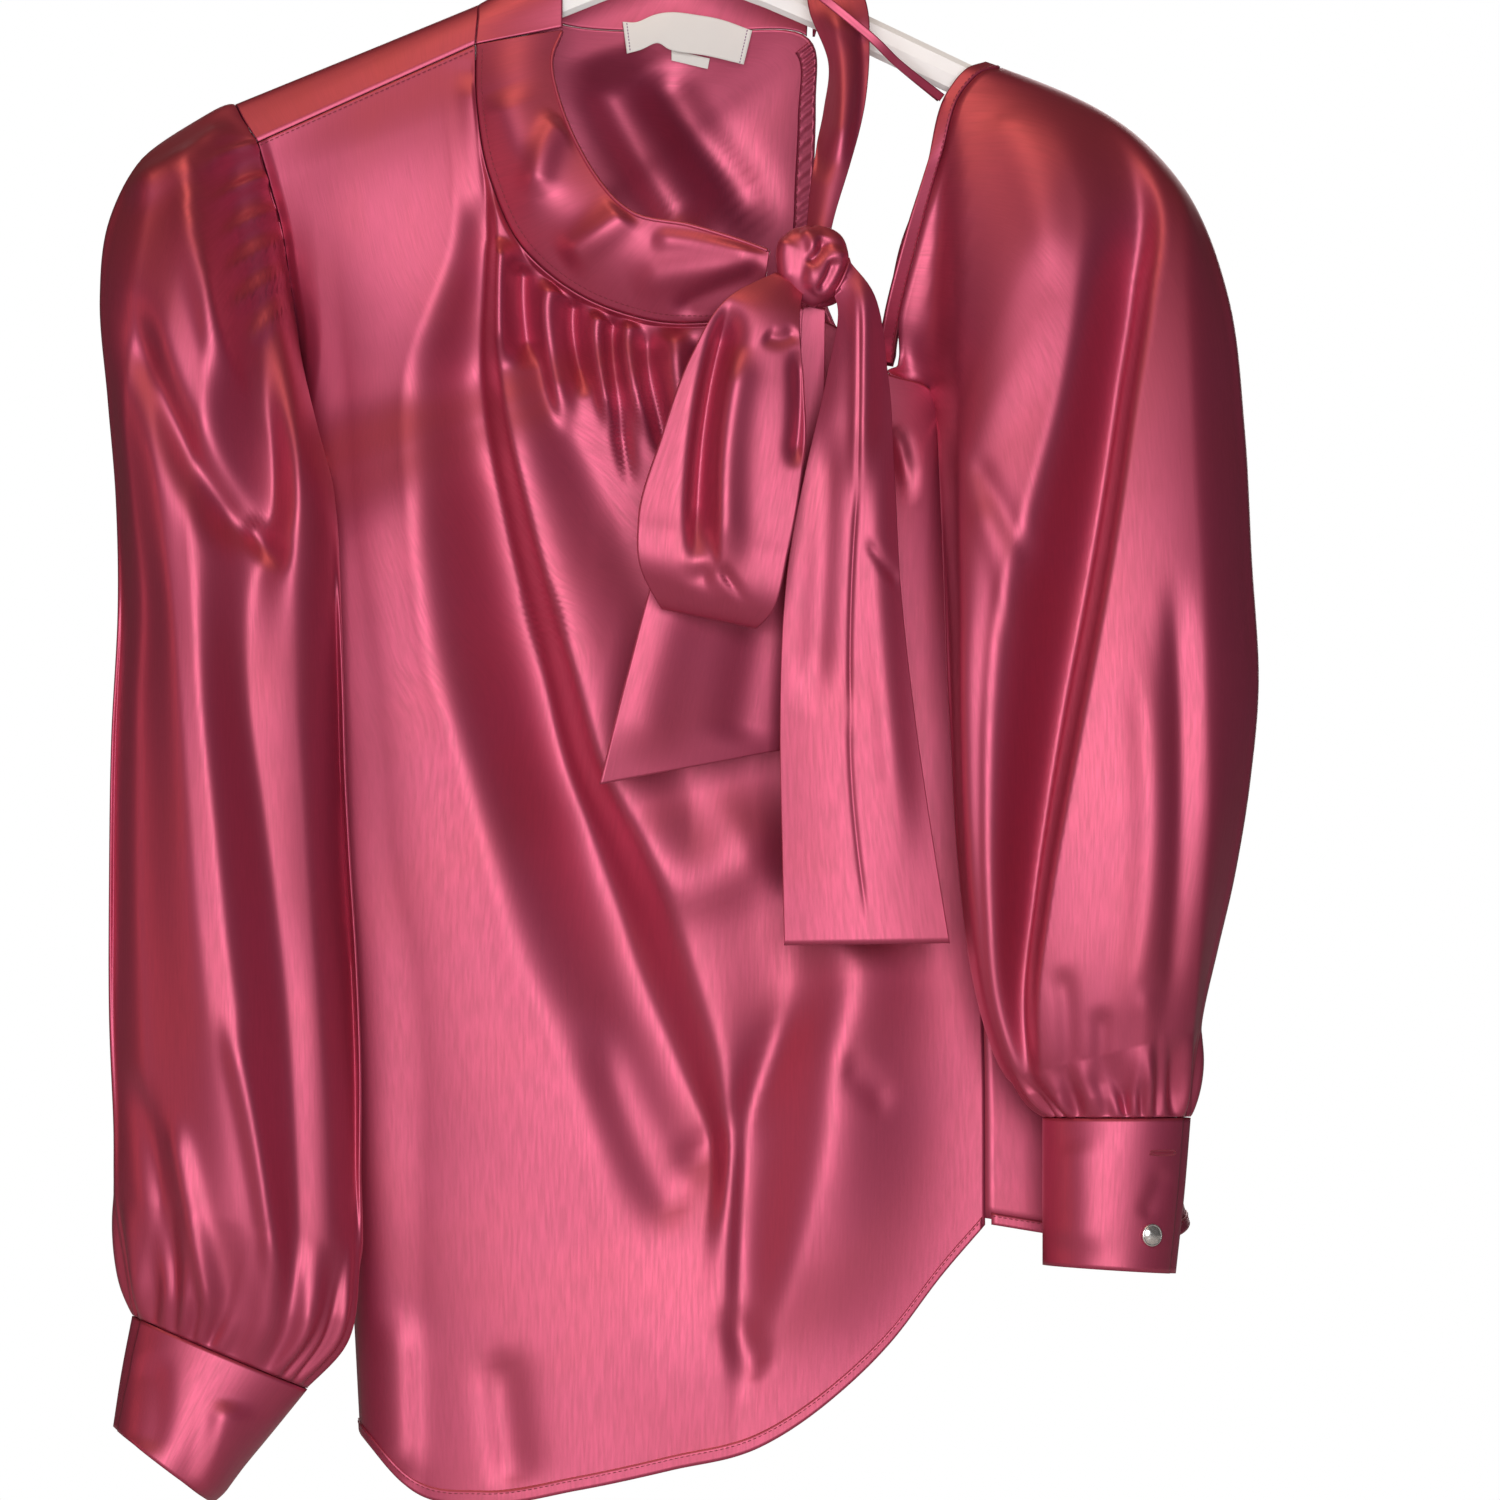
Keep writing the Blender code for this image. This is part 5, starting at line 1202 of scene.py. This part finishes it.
def tape(name, node, top, bottom, out, sag):
    """A tape between two lines, straight from end to end seen from above. It lies just before the cloth
    behind it, which is found at its nearest points, and sags between its sewn ends."""
    down, over = grid(np.linspace(0, 1, 24), np.linspace(0, 1, 60))
    top, bottom = through(top, over), through(bottom, over)
    flat = top + (bottom - top) * down[..., None]
    level, across = grid(np.linspace(0.1, 0.4, 120), np.linspace(0.4, 1, 160))
    panel = back(across, level).reshape(-1, 3)
    band_across, band_along = grid(np.linspace(0, 0.4, 20), np.linspace(0, 1, 200))
    panel = np.concatenate([panel, collar_back(band_across, band_along).reshape(-1, 3)])
    rough_x, rough_z = flat[::8, ::12, 0], flat[::8, ::12, 1]
    far = (rough_x[..., None] - panel[:, 0]) ** 2 + (rough_z[..., None] - panel[:, 2]) ** 2
    behind = panel[far.argmin(-1), 1]
    y = behind[:, :1].mean() + (behind[:, -1:].mean() - behind[:, :1].mean()) * over
    line = np.interp(np.linspace(0, 1, behind.shape[1]), over[0], y[0])
    y = y - (line - behind).max() - out - sag * np.sin(np.pi * over) * down
    points = np.stack([flat[..., 0], y, flat[..., 1]], -1)
    piece = cloth(name, points, LABEL_TAPE, wall=0.6)
    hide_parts(node)
    return piece, points


neck_label, label_points = tape("neck_label_tape", "neck_label", LABEL_TOP, LABEL_BOTTOM, 2.1, 1.0)
size_tab, _ = tape("size_tab_tape", "size_tab", TAB_TOP, TAB_BOTTOM, 1.6, 0.2)
LABEL_THREAD = thread_look("label_thread", (0.32, 0.12, 0.30, 1))
viewer = np.tile((0.0, -1.0, 0.0), (label_points.shape[0], 1))
for end, column in (("left", 2), ("right", -3)):
    line = label_points[:, column] - (0, 0.45, 0)
    stitches("label_stitches_" + end, line, viewer, pitch=1.5, length=1.1, look=LABEL_THREAD)

# Hanger. One white plastic moulding, not part of the garment, with its hook in its middle. It is shown by
# its own solid, in the plastic's look.


def hanger_look():
    """White moulded plastic, slightly uneven in gloss, with faint scuffs."""
    look = Look("hanger_plastic", Roughness=0.3, IOR=1.46, Coat_Weight=0.1)
    place = look.node("ShaderNodeTexCoord", {}, {}, output="Object")
    fine = {"Vector": place, "Scale": 140.0, "Detail": 5.0, "Roughness": 0.65}
    scuff = look.node("ShaderNodeTexNoise", {}, fine)
    broad = look.node("ShaderNodeTexNoise", {}, {"Vector": place, "Scale": 12.0, "Detail": 2.0})
    colour = look.mixed(broad, (0.80, 0.79, 0.77, 1), (0.88, 0.87, 0.85, 1))
    bump = look.node("ShaderNodeBump", {}, {"Strength": 0.06, "Distance": 0.0004, "Height": scuff})
    look.feed(Base_Color=colour, Normal=bump, Roughness=0.22 + scuff * 0.2)
    return look.material


plastic = hanger_look()
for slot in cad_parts["hanger"].material_slots:
    slot.material = plastic

# Studio. A pale floor below, a soft window behind the camera, weak warm lamps at the left and above, a
# light behind and a dim fill all round; what the camera sees past the blouse is white.
FRAME_WIDTH = 0.705
CAMERA_MIDDLE = (0.033, -0.448)
CAMERA_DISTANCE = 9.0
BLOUSE_MIDDLE = (0, 0, -0.45)
FLOOR_HALF = 2.5
FLOOR_LEVEL = -1.0


def light(name, place, aim, size, watts, colour):
    """A rectangular area light that faces its aim."""
    lamp = bpy.data.lights.new(name, "AREA")
    lamp.shape = "RECTANGLE"
    lamp.size, lamp.size_y = size
    lamp.energy = watts
    lamp.color = colour
    fixture = bpy.data.objects.new(name, lamp)
    fixture.location = place
    toward = Vector(aim) - Vector(place)
    fixture.rotation_euler = toward.to_track_quat("-Z", "Y").to_euler()
    bpy.context.scene.collection.objects.link(fixture)


light("window", (0.1, -4.0, 0.1), BLOUSE_MIDDLE, (2.4, 2.4), 122, (1.0, 0.985, 1.0))
light("lamp_left", (-3.0, -1.0, -0.2), BLOUSE_MIDDLE, (1.2, 1.6), 9, (1.0, 0.40, 0.30))
light("lamp_above", (-0.4, -0.6, 1.4), (0, 0, -0.4), (1.0, 0.8), 9, (1.0, 0.70, 0.45))
light("fill_behind", (0.4, 3.0, 0.4), BLOUSE_MIDDLE, (2.0, 2.0), 25, (1.0, 0.98, 0.96))

floor_mesh = bpy.data.meshes.new("floor")
corners = [(x * FLOOR_HALF, y * FLOOR_HALF, FLOOR_LEVEL) for x, y in ((-1, -1), (1, -1), (1, 1), (-1, 1))]
floor_mesh.from_pydata(corners, [], [(0, 1, 2, 3)])
floor_look = Look("pale_floor", Roughness=0.8)
place = floor_look.node("ShaderNodeTexCoord", {}, {}, output="Object")
cloudy = floor_look.node("ShaderNodeTexNoise", {}, {"Vector": place, "Scale": 2.0, "Detail": 2.0})
floor_look.feed(Base_Color=floor_look.mixed(cloudy, (0.80, 0.79, 0.78, 1), (0.86, 0.86, 0.85, 1)))
floor_mesh.materials.append(floor_look.material)
floor = bpy.data.objects.new("floor", floor_mesh)
bpy.context.scene.collection.objects.link(floor)

world = bpy.data.worlds.new("studio")
world.use_nodes = True
bpy.context.scene.world = world
nodes, links = world.node_tree.nodes, world.node_tree.links
dim = nodes["Background"]
dim.inputs["Color"].default_value = (1.0, 0.93, 0.90, 1)
dim.inputs["Strength"].default_value = 0.05
white = nodes.new("ShaderNodeBackground")
white.inputs["Color"].default_value = (1, 1, 1, 1)
white.inputs["Strength"].default_value = 1.0
path = nodes.new("ShaderNodeLightPath")
either = nodes.new("ShaderNodeMixShader")
links.new(path.outputs["Is Camera Ray"], either.inputs[0])
links.new(dim.outputs[0], either.inputs[1])
links.new(white.outputs[0], either.inputs[2])
links.new(either.outputs[0], nodes["World Output"].inputs["Surface"])

view = bpy.data.cameras.new("photo_view")
view.sensor_width = 36
view.lens = view.sensor_width * CAMERA_DISTANCE / FRAME_WIDTH
camera = bpy.data.objects.new("photo_view", view)
camera.location = (CAMERA_MIDDLE[0], -CAMERA_DISTANCE, CAMERA_MIDDLE[1])
camera.rotation_euler = (np.pi / 2, 0, 0)
bpy.context.scene.collection.objects.link(camera)
bpy.context.scene.camera = camera
bpy.context.scene.view_settings.view_transform = "Standard"
